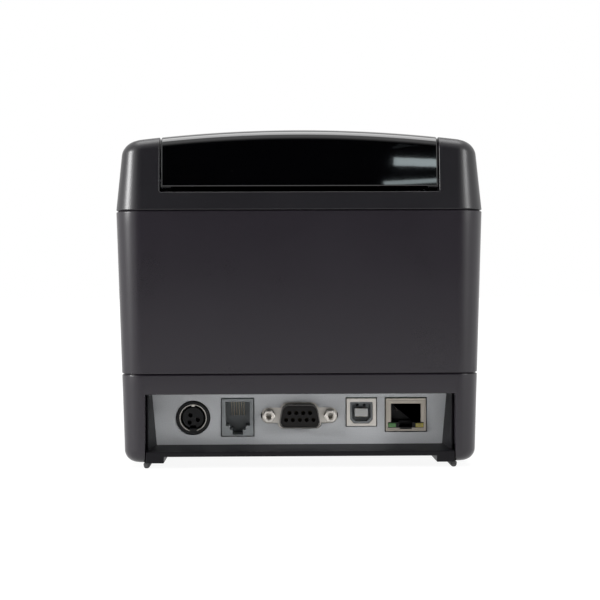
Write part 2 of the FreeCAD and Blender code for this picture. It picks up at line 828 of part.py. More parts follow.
serial_insert = piece("serial_insert")
block(serial_insert, (-15, 15), (socket_back, panel_back - 1), (serial_z - 6, board_z))
prism(serial_insert, "XZ", [d_loop(16.3, 8.43)], (panel_back - 2, panel_face + 4.6))
for count, dz in ((4, 1.42), (5, -1.42)):
    for i in range(count):
        x = (i - (count - 1) / 2) * 2.77
        rod(serial_insert, "y", (x, serial_z + dz), 0.6, (panel_face, panel_face + 5), cut=True)
serial_shell = piece("serial_shell")
flange = box_loop((-15.4, 15.4), (serial_z - 6.2, serial_z + 6.2))
prism(serial_shell, "XZ", [flange, d_loop(16.34, 8.47)], (panel_back - 1, panel_back))
prism(serial_shell, "XZ", [d_loop(17.3, 9.43), d_loop(16.34, 8.47)], (panel_back - 0.5, panel_face + 5))
jackscrews = piece("jackscrews")
for side in SIDES:
    x = side * size.jackscrew_spacing / 2
    corners = []
    for i in range(6):
        turn = math.radians(60 * i)
        corners.append((x + 2.75 * math.cos(turn), serial_z + 2.75 * math.sin(turn)))
    prism(jackscrews, "XZ", [corners], (panel_back, panel_face + 5))
    rod(jackscrews, "y", (x, serial_z), 1.3, (panel_back, panel_face + 6), cut=True)

usb_shell = piece("usb_shell")
block(usb_shell, centred(usb_x, 12.05), (socket_back, socket_face), under_board(11.3, 0))
prism(usb_shell, "XZ", [usb_loop(0)], (panel_face - 12, socket_face + 1), cut=True)
usb_insert = piece("usb_insert")
prism(usb_insert, "XZ", [usb_loop(0.02)], (panel_face - 12, panel_face - 9))
block(usb_insert, centred(usb_x, 5.55), (panel_face - 10, panel_face - 0.4), under_board(7.55, 4.25))

lan_shell = piece("lan_shell")
block(lan_shell, centred(lan_x, 16.4), (socket_back, socket_face), under_board(13.5, 0))
block(
    lan_shell, centred(lan_x, 15.3), (panel_face - 13, socket_face + 1), under_board(12.6, 1.0), cut=True
)
lan_insert = piece("lan_insert")
block(lan_insert, centred(lan_x, 15.26), (panel_face - 13, panel_face + 0.5), under_board(12.58, 1.02))
block(
    lan_insert, centred(lan_x, 11.9), (panel_face - 11.5, panel_face + 1), under_board(9.9, 2.3), cut=True
)
block(lan_insert, centred(lan_x, 5.3), (panel_face - 8, panel_face + 1), under_board(11.9, 9), cut=True)
for side, label in ((1, "lan_lamp_green"), (-1, "lan_lamp_yellow")):
    lamp = centred(lan_x + side * 5.6, 3.3)
    block(lan_insert, lamp, (panel_face - 3, panel_face + 1), under_board(12.0, 10.2), cut=True)
    lan_lamp = piece(label)
    block(lan_lamp, lamp, (panel_face - 3, panel_face + 0.4), under_board(12.0, 10.2))
lan_contacts = piece("lan_contacts")
for i in range(8):
    x = lan_x + (i - 3.5) * 1.02
    block(lan_contacts, centred(x, 0.5), (panel_face - 11, panel_face - 2.5), under_board(3.5, 2.3))

# Power switch in the left wall of the base, and its rocker on two trunnions.
switch_wall = side_at(switch_z)
power_switch = piece("power_switch")
block(power_switch, (-switch_wall - 1, -switch_wall + 16), centred(switch_y, 19), centred(switch_z, 12.4))
block(
    power_switch, (-switch_wall - 1.4, -switch_wall - 0.35), centred(switch_y, 21),
    centred(switch_z, 15),
)
block(
    power_switch, (-switch_wall - 2, -switch_wall + 9), centred(switch_y, 17.2),
    centred(switch_z, 10.9), cut=True,
)
rocker_pivot = -switch_wall + 1.5
rod(
    power_switch, "z", (rocker_pivot, switch_y), 1.0 + size.running_fit, centred(switch_z, 12), cut=True
)
power_rocker = piece("power_rocker")
rocker = [
    (-switch_wall - 0.9, switch_y - 8), (-switch_wall + 0.3, switch_y), (-switch_wall - 0.9, switch_y + 8),
    (-switch_wall + 5, switch_y + 5), (-switch_wall + 5, switch_y - 5),
]
prism(power_rocker, "XY", [rocker], centred(switch_z, 10.3))
rod(power_rocker, "z", (rocker_pivot, switch_y), 1.0, centred(switch_z, 11.8))

# Control board under the left shoulder, with its lamps' lenses and the feed button.
control_top = control_z + 1.6
feed_middle = (feed_span[0] + feed_span[1]) / 2
control_board = piece("control_board")
block(control_board, (-control_x - 6.5, -control_x + 3.2), (front + 12, front + 51), (control_z, control_top))
block(control_board, centred(-control_x, 6), centred(feed_middle, 6), (control_top, control_top + 3.5))
lenses = piece("indicator_lenses")
for y in lamp_places:
    block(control_board, centred(-control_x, 2.4), centred(y, 2.4), (control_top, control_top + 1.5))
    rod(lenses, "z", (-control_x, y), 1.3, (control_top + 1.5, roof_at(control_x, y) + 0.2))


def sloped_cap(body, x, span, low, high):
    """A bar whose top and bottom run parallel to the roof, low and high of it."""
    loop = [
        (span[0], roof_at(control_x, span[0]) + low), (span[1], roof_at(control_x, span[1]) + low),
        (span[1], roof_at(control_x, span[1]) + high), (span[0], roof_at(control_x, span[0]) + high),
    ]
    prism(body, "YZ", [loop], centred(x, size.button_width))


under_roof = -size.wall - 2 * size.clearance
feed_button = piece("feed_button")
sloped_cap(feed_button, -control_x, feed_span, under_roof - 1.2, 0.8)
sloped_cap(feed_button, -control_x, (feed_span[0] + 2, feed_span[1] + 2), under_roof - 1.2, under_roof)
block(
    feed_button, centred(-control_x, 3), centred(feed_middle, 3),
    (control_top + 3.5 + size.clearance + 1, roof_at(control_x, feed_middle) - 2),
)

# Print mechanism: a folded frame on the shelf carries the head, the motors, the cutter and the latch.
gear_span = (-plate_outer - 1.3 - size.gear_width, -plate_outer - 1.3)

rack_tip = blade_z - 3.3
addendum = 0.75 * size.gear_module
cutter_y = front + size.cutter_setback
cutter_z = rack_tip + addendum - size.gear_module * (PINION_TEETH / 2)
cutter_idler_z = cutter_z - gear_distance(CUTTER_TEETH, CUTTER_IDLER_TEETH)
cutter_pinion_z = cutter_idler_z - gear_distance(CUTTER_IDLER_TEETH, PINION_TEETH)
strip_face = platen_y - size.platen_radius - size.clearance
sink_rear = strip_face - 0.7
sink_front = sink_rear - 3
head_pivot = (sink_rear - 1.5, platen_z - 14)
head_top = rack_tip - 0.9
spring_z = head_pivot[1] + 4.5
spring_wall = sink_front - size.spring_length
latch_y = platen_y - 2
latch_z = platen_z - 24
collar_radius = size.shaft_radius + 1

mech_frame = piece("mech_frame")
cheek = [
    (frame_front, shelf_top), (frame_rear, shelf_top), (frame_rear, pinion_z + 14),
    (platen_y + 9, platen_z - 6), (platen_y + 9, platen_z + 5.5), (platen_y - 10, platen_z + 5.5),
    (platen_y - 10, frame_top), (frame_front, frame_top),
]
block(mech_frame, (-plate_outer, plate_outer), (frame_front, frame_rear), (shelf_top, shelf_top + 1.5))
block(
    mech_frame, (-plate_inner, plate_inner), (spring_wall - 2, spring_wall),
    (head_pivot[1] - 4, cutter_z - 6.4),
)
for side in SIDES:
    plate = both_sides(side, plate_inner, plate_outer)
    wide = both_sides(side, plate_inner - 1, plate_outer + 1)
    prism(mech_frame, "YZ", [cheek], plate)
    block(
        mech_frame, both_sides(side, plate_inner - 3, plate_inner), (frame_front, platen_y - 10),
        (blade_z - 1 - size.clearance, blade_z - size.clearance),
    )
    notch = size.bush_radius + 0.1
    rod(mech_frame, "x", (platen_y, platen_z), notch, wide, cut=True)
    block(mech_frame, wide, (platen_y - notch, platen_y + notch), (platen_z, platen_z + 6), cut=True)
    rod(mech_frame, "x", (cutter_y, cutter_z), 2.0 + size.running_fit, wide, cut=True)
    rod(mech_frame, "x", head_pivot, 1.5 + size.running_fit, wide, cut=True)
motor_side = (-plate_outer - 1, -plate_inner + 1)
for middle in ((pinion_y, pinion_z), (cutter_y, cutter_pinion_z)):
    rod(mech_frame, "x", middle, 1.6, motor_side, cut=True)
for middle in ((idler_y, idler_z), (cutter_y, cutter_idler_z)):
    rod(mech_frame, "x", middle, 1.5, (gear_span[0] - 0.7, -plate_outer))
latch_span = (plate_outer + 1.2, plate_outer + 4.2)
rod(mech_frame, "x", (latch_y, latch_z), 2.0, (plate_outer, latch_span[1] + 0.8))

cutter_bracket = piece("cutter_bracket")
block(cutter_bracket, (-plate_outer, plate_outer), (front + 7, cover_rear - 0.5), (frame_top, bracket_top))

for label, middle, radius, boss, length in (
    ("feed_motor", (pinion_y, pinion_z), 12.5, 5.0, 20),
    ("cutter_motor", (cutter_y, cutter_pinion_z), 9.0, 3.5, 24),
):
    motor = piece(label)
    can_end = -plate_inner + length
    rod(motor, "x", middle, radius, (-plate_inner, can_end))
    rod(motor, "x", middle, boss, (can_end, can_end + 2))
    rod(motor, "x", middle, 1.0 + size.running_fit, (-plate_inner - 1, -plate_inner + 7), cut=True)

# Print head: heat sink on two trunnions, ceramic strip towards the platen, two springs behind.
head_sink = piece("head_sink")
sink_half = plate_inner - 2.6
block(head_sink, (-sink_half, sink_half), (sink_front, sink_rear), (head_pivot[1] - 2, head_top))
for side in SIDES:
    rod(head_sink, "x", head_pivot, 1.5, both_sides(side, sink_half - 1, plate_inner + 1.6))
head_strip = piece("head_strip")
block(head_strip, (-strip_half, strip_half), (sink_rear, strip_face), (platen_z - 9, head_top - 0.4))
head_springs = piece("head_springs")
for side in SIDES:
    rod(head_springs, "y", (side * 22.0, spring_z), 3.0, (spring_wall, sink_front))
    rod(head_springs, "y", (side * 22.0, spring_z), 2.2, (spring_wall, sink_front), cut=True)

# Latch lever on the right side of the frame, and the release button that presses its pad.
pad_front = latch_y - 20
pad_rear = latch_y - 17
latch_lever = piece("latch_lever")
rod(latch_lever, "x", (latch_y, latch_z), 4.5, latch_span)
block(latch_lever, latch_span, (platen_y - 10, platen_y - 5), (latch_z - 4, platen_z + 6.5))
block(latch_lever, latch_span, (pad_front, latch_y), (latch_z - 4, latch_z + 4))
block(
    latch_lever, latch_span, (platen_y - 6, platen_y - collar_radius - size.clearance),
    (platen_z + collar_radius + 0.7, platen_z + 6.5),
)
block(latch_lever, (latch_span[0], control_x + 2), (pad_front, pad_rear), (latch_z, latch_z + 4))
rod(
    latch_lever, "x", (latch_y, latch_z), 2.0 + size.running_fit, (latch_span[0] - 1, latch_span[1] + 1),
    cut=True,
)
release_button = piece("release_button")
sloped_cap(release_button, control_x, release_span, under_roof - 1.2, 0.9)
sloped_cap(
    release_button, control_x, (release_span[0], release_span[1] + 3), under_roof - 1.2, under_roof
)
block(
    release_button, centred(control_x, 4), (pad_front, pad_rear),
    (latch_z + 4 + size.clearance, roof_at(control_x, pad_front) - 3),
)

# Gears, with involute teeth.


def involute(angle):
    return math.tan(angle) - angle


def tooth_profile(teeth):
    """Half a tooth from root to tip, as (radius, angle from the tooth's middle)."""
    pitch = number(size.gear_module) * teeth / 2
    base = pitch * math.cos(PRESSURE_ANGLE)
    tip = pitch + number(addendum)
    foot = pitch - 1.15 * number(size.gear_module)
    half = (math.pi * number(size.gear_module) - 2 * number(size.backlash)) / (4 * pitch)
    profile = []
    for i in range(5):
        radius = max(base, foot) + (tip - max(base, foot)) * i / 4
        flank = math.acos(min(1, base / radius))
        profile.append((radius, half + involute(PRESSURE_ANGLE) - involute(flank)))
    if foot < base:
        profile.insert(0, (foot, profile[0][1]))
    return profile


def gear(teeth, middle, span, phase):
    """A toothed wheel along X, one tooth's middle at the phase angle from +Y towards +Z."""
    profile = tooth_profile(teeth)
    points = []
    for i in range(teeth):
        centre = phase + 2 * math.pi * i / teeth
        flanks = [(radius, centre - angle) for radius, angle in profile]
        flanks += [(radius, centre + angle) for radius, angle in reversed(profile)]
        for radius, angle in flanks:
            y = number(middle[0]) + radius * math.cos(angle)
            z = number(middle[1]) + radius * math.sin(angle)
            points.append(Vector(number(span[0]), y, z))
    face = Part.Face(Part.makePolygon(points + points[:1]))
    return face.extrude(Vector(number(span[1] - span[0]), 0, 0))


def mesh_phase(teeth, middle, phase, mate_teeth, mate_middle):
    """The phase at which a mating wheel's gap faces this wheel's tooth."""
    direction = math.atan2(
        number(mate_middle[1] - middle[1]), number(mate_middle[0] - middle[0])
    )
    turn = (direction - phase) * teeth / (2 * math.pi)
    return direction + math.pi - 2 * math.pi / mate_teeth * (0.5 - turn)


def round_bar(middle, radius, span):
    start = Vector(number(span[0]), number(middle[0]), number(middle[1]))
    return Part.makeCylinder(number(radius), number(span[1] - span[0]), start, Vector(1, 0, 0))


def made_piece(label, shape):
    item = doc.addObject("Part::Feature", label)
    item.Label = label
    item.Shape = shape
    item.Placement = Placement()
    pieces.append(item)


platen_middle = (platen_y, platen_z)
idler_middle = (idler_y, idler_z)
pinion_middle = (pinion_y, pinion_z)
cutter_middle = (cutter_y, cutter_z)
cutter_idler_middle = (cutter_y, cutter_idler_z)
cutter_pinion_middle = (cutter_y, cutter_pinion_z)
through_gear = (gear_span[0] - 1, gear_span[1] + 1)
motor_shaft = (gear_span[1] - 1, -plate_inner + 6)
stud_bore = 1.5 + size.running_fit

idler_phase = mesh_phase(PLATEN_TEETH, platen_middle, 0, IDLER_TEETH, idler_middle)
pinion_phase = mesh_phase(IDLER_TEETH, idler_middle, idler_phase, PINION_TEETH, pinion_middle)
cutter_idler_phase = mesh_phase(CUTTER_TEETH, cutter_middle, 0, CUTTER_IDLER_TEETH, cutter_idler_middle)
cutter_pinion_phase = mesh_phase(
    CUTTER_IDLER_TEETH, cutter_idler_middle, cutter_idler_phase, PINION_TEETH, cutter_pinion_middle
)
platen_wheel = gear(PLATEN_TEETH, platen_middle, gear_span, 0)
platen_bore = round_bar(platen_middle, size.shaft_radius + size.press_fit, through_gear)
made_piece("platen_gear", platen_wheel.cut(platen_bore))
idler_wheel = gear(IDLER_TEETH, idler_middle, gear_span, idler_phase)
made_piece("feed_idler", idler_wheel.cut(round_bar(idler_middle, stud_bore, through_gear)))
pinion_wheel = gear(PINION_TEETH, pinion_middle, gear_span, pinion_phase)
made_piece("feed_pinion", pinion_wheel.fuse(round_bar(pinion_middle, 1, motor_shaft)))
cutter_idler_wheel = gear(CUTTER_IDLER_TEETH, cutter_idler_middle, gear_span, cutter_idler_phase)
made_piece("cutter_idler", cutter_idler_wheel.cut(round_bar(cutter_idler_middle, stud_bore, through_gear)))
cutter_pinion_wheel = gear(PINION_TEETH, cutter_pinion_middle, gear_span, cutter_pinion_phase)
made_piece("cutter_pinion", cutter_pinion_wheel.fuse(round_bar(cutter_pinion_middle, 1, motor_shaft)))

# Cutter shaft with its wheel and the two pinions under the racks.
rack_inner = strip_half - 6.5
rack_outer = strip_half - 1.5
cutter_shaft = round_bar(cutter_middle, 2, (gear_span[0], plate_outer + 1.5))
cutter_shaft = cutter_shaft.fuse(gear(CUTTER_TEETH, cutter_middle, gear_span, 0))
for side in SIDES:
    span = both_sides(side, rack_inner, rack_outer)
    cutter_shaft = cutter_shaft.fuse(gear(PINION_TEETH, cutter_middle, span, math.pi / 2))
made_piece("cutter_shaft", cutter_shaft)

# Moving blade with a shallow V edge, guided at its sides, and the two racks under it.
blade_edge = platen_y - 8.4
blade_half = strip_half + 0.5
moving_blade = piece("moving_blade")
blade = [
    (-blade_half, frame_front), (blade_half, frame_front), (blade_half, blade_edge), (0, blade_edge - 2.6),
    (-blade_half, blade_edge),
]
prism(moving_blade, "XY", [blade], (blade_z, blade_z + 1))
for side in SIDES:
    block(
        moving_blade, both_sides(side, blade_half - 1, plate_inner - 0.4), (frame_front, platen_y - 16),
        (blade_z, blade_z + 1),
    )


def rack(span):
    """Straight teeth pointing down, with a gap over the pinion."""
    module = number(size.gear_module)
    pitch = math.pi * module
    slope = math.tan(PRESSURE_ANGLE)
    line = number(rack_tip + addendum)
    half = (pitch - number(size.backlash)) / 4
    tip_half = half - number(addendum) * slope
    foot_z = line + 1.15 * module
    foot_half = half + 1.15 * module * slope
    places = [number(cutter_y) + (i + 0.5) * pitch for i in range(-4, 2)]
    points = [(places[0] - 1.4, number(blade_z)), (places[0] - 1.4, foot_z)]
    for place_y in places:
        points.append((place_y - foot_half, foot_z))
        points.append((place_y - tip_half, number(rack_tip)))
        points.append((place_y + tip_half, number(rack_tip)))
        points.append((place_y + foot_half, foot_z))
    points += [(places[-1] + 1.4, foot_z), (places[-1] + 1.4, number(blade_z))]
    corners = [Vector(number(span[0]), y, z) for y, z in points]
    face = Part.Face(Part.makePolygon(corners + corners[:1]))
    return face.extrude(Vector(number(span[1] - span[0]), 0, 0))


racks = [rack(both_sides(side, rack_inner, rack_outer)) for side in SIDES]
made_piece("blade_racks", Part.makeCompound(racks))

# Lid liner: beam, side rails and arms that hold the platen, with the fixed blade under the beam.
beam_z = frame_top + 1.5
liner_form = roof_form("liner_form", size.lid_wall + size.clearance)
liner_blocks = tool("liner_blocks")
beam_half = lid_half - size.lid_wall - 1.6
beam_front = lid_front + size.lid_wall + size.clearance
beam_rear = lid_front + 18
block(liner_blocks, (-beam_half, beam_half), (beam_front, beam_rear), (beam_z, sky))
for side in SIDES:
    block(
        liner_blocks, both_sides(side, beam_half - 3, beam_half), (beam_rear - 1, hinge_y - 10),
        (lid_bottom + 2, sky),
    )
lid_liner = piece("lid_liner", combined("Common", liner_form, liner_blocks))
fixed_blade = piece("fixed_blade")
blade_screws = piece("blade_screws")
block(
    fixed_blade, (-sink_half + 0.2, sink_half - 0.2), (platen_y - 6.4, platen_y + 8), (frame_top, beam_z)
)
platen_bushes = piece("platen_bushes")
for side in SIDES:
    arm = both_sides(side, sink_half, plate_inner - 0.4)
    block(lid_liner, arm, (beam_front, platen_y + 4.7), (platen_z, beam_z + 1.5))
    rod(lid_liner, "x", platen_middle, size.bush_radius + 1.5, arm)
    rod(lid_liner, "x", platen_middle, size.bush_radius + size.press_fit, arm, cut=True)
    bush = both_sides(side, sink_half, plate_outer + 0.2)
    rod(platen_bushes, "x", platen_middle, size.bush_radius, bush)
    rod(platen_bushes, "x", platen_middle, size.shaft_radius + size.running_fit, bush, cut=True)
    screw = (side * 30.0, platen_y + 4)
    for target in (lid_liner, fixed_blade):
        rod(target, "z", screw, 1.2 + size.press_fit, (frame_top - 1, beam_z + 3), cut=True)
    rod(blade_screws, "z", screw, 2.0, (frame_top - 1.2, frame_top))
    rod(blade_screws, "z", screw, 1.2, (frame_top, beam_z + 2.5))

# Platen: steel shaft with a catch collar for the latch, and its rubber sleeve.
platen_shaft = piece("platen_shaft")
rod(platen_shaft, "x", platen_middle, size.shaft_radius, (gear_span[0] - 0.7, plate_outer + 0.6))
rod(platen_shaft, "x", platen_middle, collar_radius, (plate_outer + 0.6, plate_outer + 4.6))
platen_rubber = piece("platen_rubber")
rod(platen_rubber, "x", platen_middle, size.platen_radius, (-strip_half, strip_half))
rod(
    platen_rubber, "x", platen_middle, size.shaft_radius + size.press_fit,
    (-strip_half - 1, strip_half + 1), cut=True,
)

# Tear bar: thin saw-toothed strip on the rear face of the front cover.
teeth_count = 50
tooth_pitch = 2 * number(strip_half) / teeth_count
tear_high = number(roof_at(strip_half, cover_rear)) - 0.6
tear_low = tear_high - number(size.tear_height)
profile = [(-number(strip_half), tear_low), (number(strip_half), tear_low)]
for i in range(teeth_count):
    right = number(strip_half) - i * tooth_pitch
    profile.append((right, tear_high - 1))
    profile.append((right - tooth_pitch / 2, tear_high))
profile.append((-number(strip_half), tear_high - 1))
corners = [Vector(x, number(cover_rear), z) for x, z in profile]
tear_face = Part.Face(Part.makePolygon(corners + corners[:1]))
made_piece("tear_bar", tear_face.extrude(Vector(0, 0.8, 0)))

# Every piece is checked, then written to its own file.
doc.recompute()
faults = [item.Label for item in doc.Objects if "Invalid" in item.State or "Error" in item.State]
for item in pieces:
    if item.Shape.isNull() or not item.Shape.isValid():
        faults.append(item.Label)
if faults:
    raise RuntimeError("failed objects: " + ", ".join(faults))

os.makedirs("parts", exist_ok=True)
for item in pieces:
    item.Shape.exportStep(f"parts/{item.Label}.step")
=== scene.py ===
import bmesh
import bpy
import json
import math
from mathutils import Matrix, Vector

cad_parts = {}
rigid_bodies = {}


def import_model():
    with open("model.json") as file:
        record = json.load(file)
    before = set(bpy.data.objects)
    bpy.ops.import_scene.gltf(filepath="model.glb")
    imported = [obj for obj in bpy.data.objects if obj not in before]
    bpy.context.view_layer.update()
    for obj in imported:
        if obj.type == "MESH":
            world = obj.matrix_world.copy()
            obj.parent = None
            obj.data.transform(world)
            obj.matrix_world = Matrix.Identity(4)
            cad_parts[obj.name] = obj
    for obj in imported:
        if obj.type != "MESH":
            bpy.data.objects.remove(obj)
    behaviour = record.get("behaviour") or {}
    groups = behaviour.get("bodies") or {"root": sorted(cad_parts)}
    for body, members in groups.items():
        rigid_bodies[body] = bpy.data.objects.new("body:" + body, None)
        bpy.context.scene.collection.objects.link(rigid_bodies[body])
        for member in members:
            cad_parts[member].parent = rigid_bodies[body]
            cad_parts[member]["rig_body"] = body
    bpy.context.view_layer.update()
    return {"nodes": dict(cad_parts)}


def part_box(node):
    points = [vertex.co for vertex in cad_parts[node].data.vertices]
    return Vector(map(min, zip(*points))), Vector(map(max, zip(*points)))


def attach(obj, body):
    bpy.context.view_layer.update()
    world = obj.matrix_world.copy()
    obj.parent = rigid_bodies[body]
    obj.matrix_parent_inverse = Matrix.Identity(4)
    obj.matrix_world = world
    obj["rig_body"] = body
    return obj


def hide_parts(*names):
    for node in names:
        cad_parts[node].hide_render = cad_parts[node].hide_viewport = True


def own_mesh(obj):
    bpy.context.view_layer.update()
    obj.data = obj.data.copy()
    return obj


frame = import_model()

# Base shell: the lower casing, one drafted moulding in black ABS with a satin finish.
# It is open below and at the rear, where the cables come in, and screws up into the middle case.
mm = 0.001
nodes = frame["nodes"]


class Signal:
    """A shader socket that takes part in sums and comparisons."""

    def __init__(self, finish, socket):
        self.finish = finish
        self.socket = socket

    def __add__(self, other):
        return self.finish.maths("ADD", self, other)

    def __radd__(self, other):
        return self.finish.maths("ADD", other, self)

    def __mul__(self, other):
        return self.finish.maths("MULTIPLY", self, other)

    def __rmul__(self, other):
        return self.finish.maths("MULTIPLY", other, self)

    def __lt__(self, other):
        return self.finish.maths("LESS_THAN", self, other)

    def __gt__(self, other):
        return self.finish.maths("GREATER_THAN", self, other)

    def twin(self, name):
        """Another output of the same node."""
        return Signal(self.finish, self.socket.node.outputs[name])


class Nodes:
    """The shader nodes of one material or of the surround."""

    def __init__(self, tree):
        self.tree = tree

    def node(self, kind, settings=None, sockets=None, output=0):
        """A new node with its settings and its input sockets, as the signal of one output."""
        made = self.tree.nodes.new(kind)
        for label, value in (settings or {}).items():
            setattr(made, label, value)
        for label, value in (sockets or {}).items():
            self.connect(value, made.inputs[label])
        return Signal(self, made.outputs[output])

    def connect(self, value, socket):
        if isinstance(value, Signal):
            self.tree.links.new(value.socket, socket)
        else:
            socket.default_value = value

    def maths(self, operation, first, second):
        return self.node("ShaderNodeMath", {"operation": operation}, {0: first, 1: second})


class Finish(Nodes):
    """A surface finish: one Principled shader and the nodes that feed it."""

    def __init__(self, name, constants=None):
        self.material = bpy.data.materials.new(name)
        self.material.use_nodes = True
        super().__init__(self.material.node_tree)
        self.shader = self.tree.nodes["Principled BSDF"]
        for label, value in (constants or {}).items():
            self.feed(label, value)
        self.place = self.node("ShaderNodeTexCoord", output="Object")

    def feed(self, label, value):
        self.connect(value, self.shader.inputs[label])

    def mix(self, share, first, second):
        """Two colours blended by a share from 0 to 1."""
        colours = {0: share, 6: first, 7: second}
        return self.node("ShaderNodeMix", {"data_type": "RGBA"}, colours, output=2)

    def noise(self, size, detail=2.0, stretch=(1, 1, 1)):
        """Cloudy noise with features of about that size, longer along a stretched axis."""
        place = self.node(
            "ShaderNodeMapping", {"vector_type": "TEXTURE"}, {"Vector": self.place, "Scale": stretch}
        )
        sockets = {"Vector": place, "Scale": 1 / size, "Detail": detail}
        return self.node("ShaderNodeTexNoise", sockets=sockets)

    def relief(self, height, depth):
        """A bump of that depth."""
        bump = self.node("ShaderNodeBump", sockets={"Height": height, "Distance": depth})
        self.feed("Normal", bump)

    def specks(self, spacing, radius, share):
        """A mask of small round specks in that share of the cells."""
        sockets = {"Vector": self.place, "Scale": 1 / spacing}
        cells = self.node("ShaderNodeTexVoronoi", sockets=sockets)
        return (cells < radius / spacing) * (cells.twin("Color") < share)


def shade(colour, level):
    """The colour made darker or paler, with full cover."""
    return (colour[0] * level, colour[1] * level, colour[2] * level, 1)


dust_grey = (0.5, 0.5, 0.48, 1)


def moulded(name, colour, roughness, grain, depth, dust=0.0, constants=None):
    """Moulded plastic: uneven tone, a spark-eroded grain of that size and depth, and a few dust specks."""
    finish = Finish(name, constants)
    cloud = finish.noise(30 * mm)
    fine = finish.noise(grain, detail=1)
    tone = finish.mix(cloud, shade(colour, 0.86), shade(colour, 1.14))
    tone = finish.mix(fine * 0.35, tone, shade(colour, 1.5))
    rough = roughness - 0.05 + 0.06 * cloud + 0.04 * fine
    if dust:
        lint = finish.specks(11 * mm, 0.11 * mm, dust)
        tone = finish.mix(lint * 0.5, tone, dust_grey)
        rough = rough + 0.3 * lint
    finish.feed("Base Color", tone)
    finish.feed("Roughness", rough)
    finish.relief(fine, depth)
    return finish


def only(piece):
    """Select one piece and make it the active one."""
    bpy.ops.object.select_all(action="DESELECT")
    piece.select_set(True)
    bpy.context.view_layer.objects.active = piece


def apply(piece, modifier):
    """Make a modifier part of the mesh."""
    only(piece)
    bpy.ops.object.modifier_apply(modifier=modifier.name)


def rounded(piece, width, segments=2, clamp=False):
    """Round the sharp edges and shade the piece smooth, with flat faces kept flat."""
    bevel = piece.modifiers.new("rounding", "BEVEL")
    bevel.width = width
    bevel.segments = segments
    bevel.limit_method = "ANGLE"
    bevel.angle_limit = math.radians(30)
    bevel.use_clamp_overlap = clamp
    bevel.miter_outer = "MITER_ARC"
    apply(piece, bevel)
    bpy.ops.object.shade_smooth_by_angle(angle=math.radians(40))
    normals = piece.modifiers.new("flat_faces", "WEIGHTED_NORMAL")
    normals.keep_sharp = True
    normals.weight = 100
    apply(piece, normals)


def added(piece, finish, body):
    """Give a piece its finish and let it ride on a body."""
    piece.data.materials.clear()
    piece.data.materials.append(finish.material)
    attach(piece, body)


def stands_for(piece, finish, node):
    """Finish a piece and put it in the place of its CAD node."""
    added(piece, finish, nodes[node]["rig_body"])
    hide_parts(node)


def softened(node, finish, width, segments=2, clamp=False):
    """The node's own shape with its moulded or pressed edges rounded, in the node's place."""
    piece = bpy.data.objects.new(f"{node}_finished", nodes[node].data.copy())
    bpy.context.scene.collection.objects.link(piece)
    only(piece)
    bpy.ops.mesh.customdata_custom_splitnormals_clear()
    bpy.ops.object.mode_set(mode="EDIT")
    bpy.ops.mesh.select_all(action="SELECT")
    bpy.ops.mesh.remove_doubles(threshold=0.002 * mm)
    bpy.ops.mesh.dissolve_limited(angle_limit=math.radians(0.3))
    bpy.ops.object.mode_set(mode="OBJECT")
    rounded(piece, width, segments, clamp)
    stands_for(piece, finish, node)
    return piece


satin_black = moulded("satin_black", (0.0128, 0.0102, 0.0148), 0.29, 0.22 * mm, 0.002 * mm, dust=0.5)
softened("base_shell", satin_black, 0.35 * mm)

# Bottom chassis: a tray in black ABS that closes the base from below.
# Its rear is the floor of the cable recess, between two slanted cheeks, and two runners stand below it.
tray_black = moulded(
    "tray_black", (0.0045, 0.004, 0.0055), 0.45, 0.3 * mm, 0.006 * mm, dust=0.3,
    constants={"Specular IOR Level": 0.2},
)
softened("bottom_chassis", tray_black, 0.3 * mm)

# Feet: four narrow rubber pads pressed into the runners' outer edges.
# Dark grey and dull, a little paler than the casing, with rounded tips.
foot_rubber = moulded("foot_rubber", (0.07, 0.07, 0.072), 0.75, 0.15 * mm, 0.008 * mm)
softened("rubber_feet", foot_rubber, 0.7 * mm, segments=3)

# Case screws: four zinc-plated pan-head screws, sunk in the runners and turned up into the middle case.
# Each head has a cross recess for the driver.


def plated(name, colour, roughness, streak=(1, 1, 1), metallic=1.0):
    """Bare or plated metal: fine rolling marks along one axis and a few dull patches."""
    finish = Finish(name, {"Metallic": metallic})
    marks = finish.noise(0.25 * mm, detail=3, stretch=streak)
    stain = finish.noise(4 * mm, detail=3)
    tone = finish.mix(stain, shade(colour, 0.82), shade(colour, 1.08))
    finish.feed("Base Color", finish.mix(marks * 0.25, tone, shade(colour, 0.7)))
    finish.feed("Roughness", roughness - 0.08 + 0.12 * stain + 0.1 * marks)
    finish.relief(marks, 0.0015 * mm)
    return finish


zinc = plated("zinc_screw", (0.62, 0.62, 0.64), 0.32)


def ready(name):
    """The new primitive, with its size and place in its mesh."""
    piece = bpy.context.object
    piece.name = name
    bpy.ops.object.transform_apply(location=True, rotation=True, scale=True)
    return piece


def box(name, low, high):
    """A block between two corners."""
    bpy.ops.object.select_all(action="DESELECT")
    low = Vector(low)
    high = Vector(high)
    bpy.ops.mesh.primitive_cube_add(size=1, location=(low + high) / 2, scale=high - low)
    return ready(name)


TURNS = {"x": (0, math.pi / 2, 0), "y": (math.pi / 2, 0, 0), "z": (0, 0, 0)}


def rod(name, axis, middle, radius, length, sides=32, turn=0):
    """A round bar along an axis, about its middle. One along Y can be turned about itself."""
    bpy.ops.object.select_all(action="DESELECT")
    rotation = list(TURNS[axis])
    rotation[1] += turn
    bpy.ops.mesh.primitive_cylinder_add(
        vertices=sides, radius=radius, depth=length, location=middle, rotation=rotation
    )
    return ready(name)


def combine(piece, other, operation):
    """Cut, join or keep the common part with another piece, which is used up."""
    boolean = piece.modifiers.new("combine", "BOOLEAN")
    boolean.object = other
    boolean.operation = operation
    boolean.solver = "EXACT"
    apply(piece, boolean)
    bpy.data.objects.remove(other)


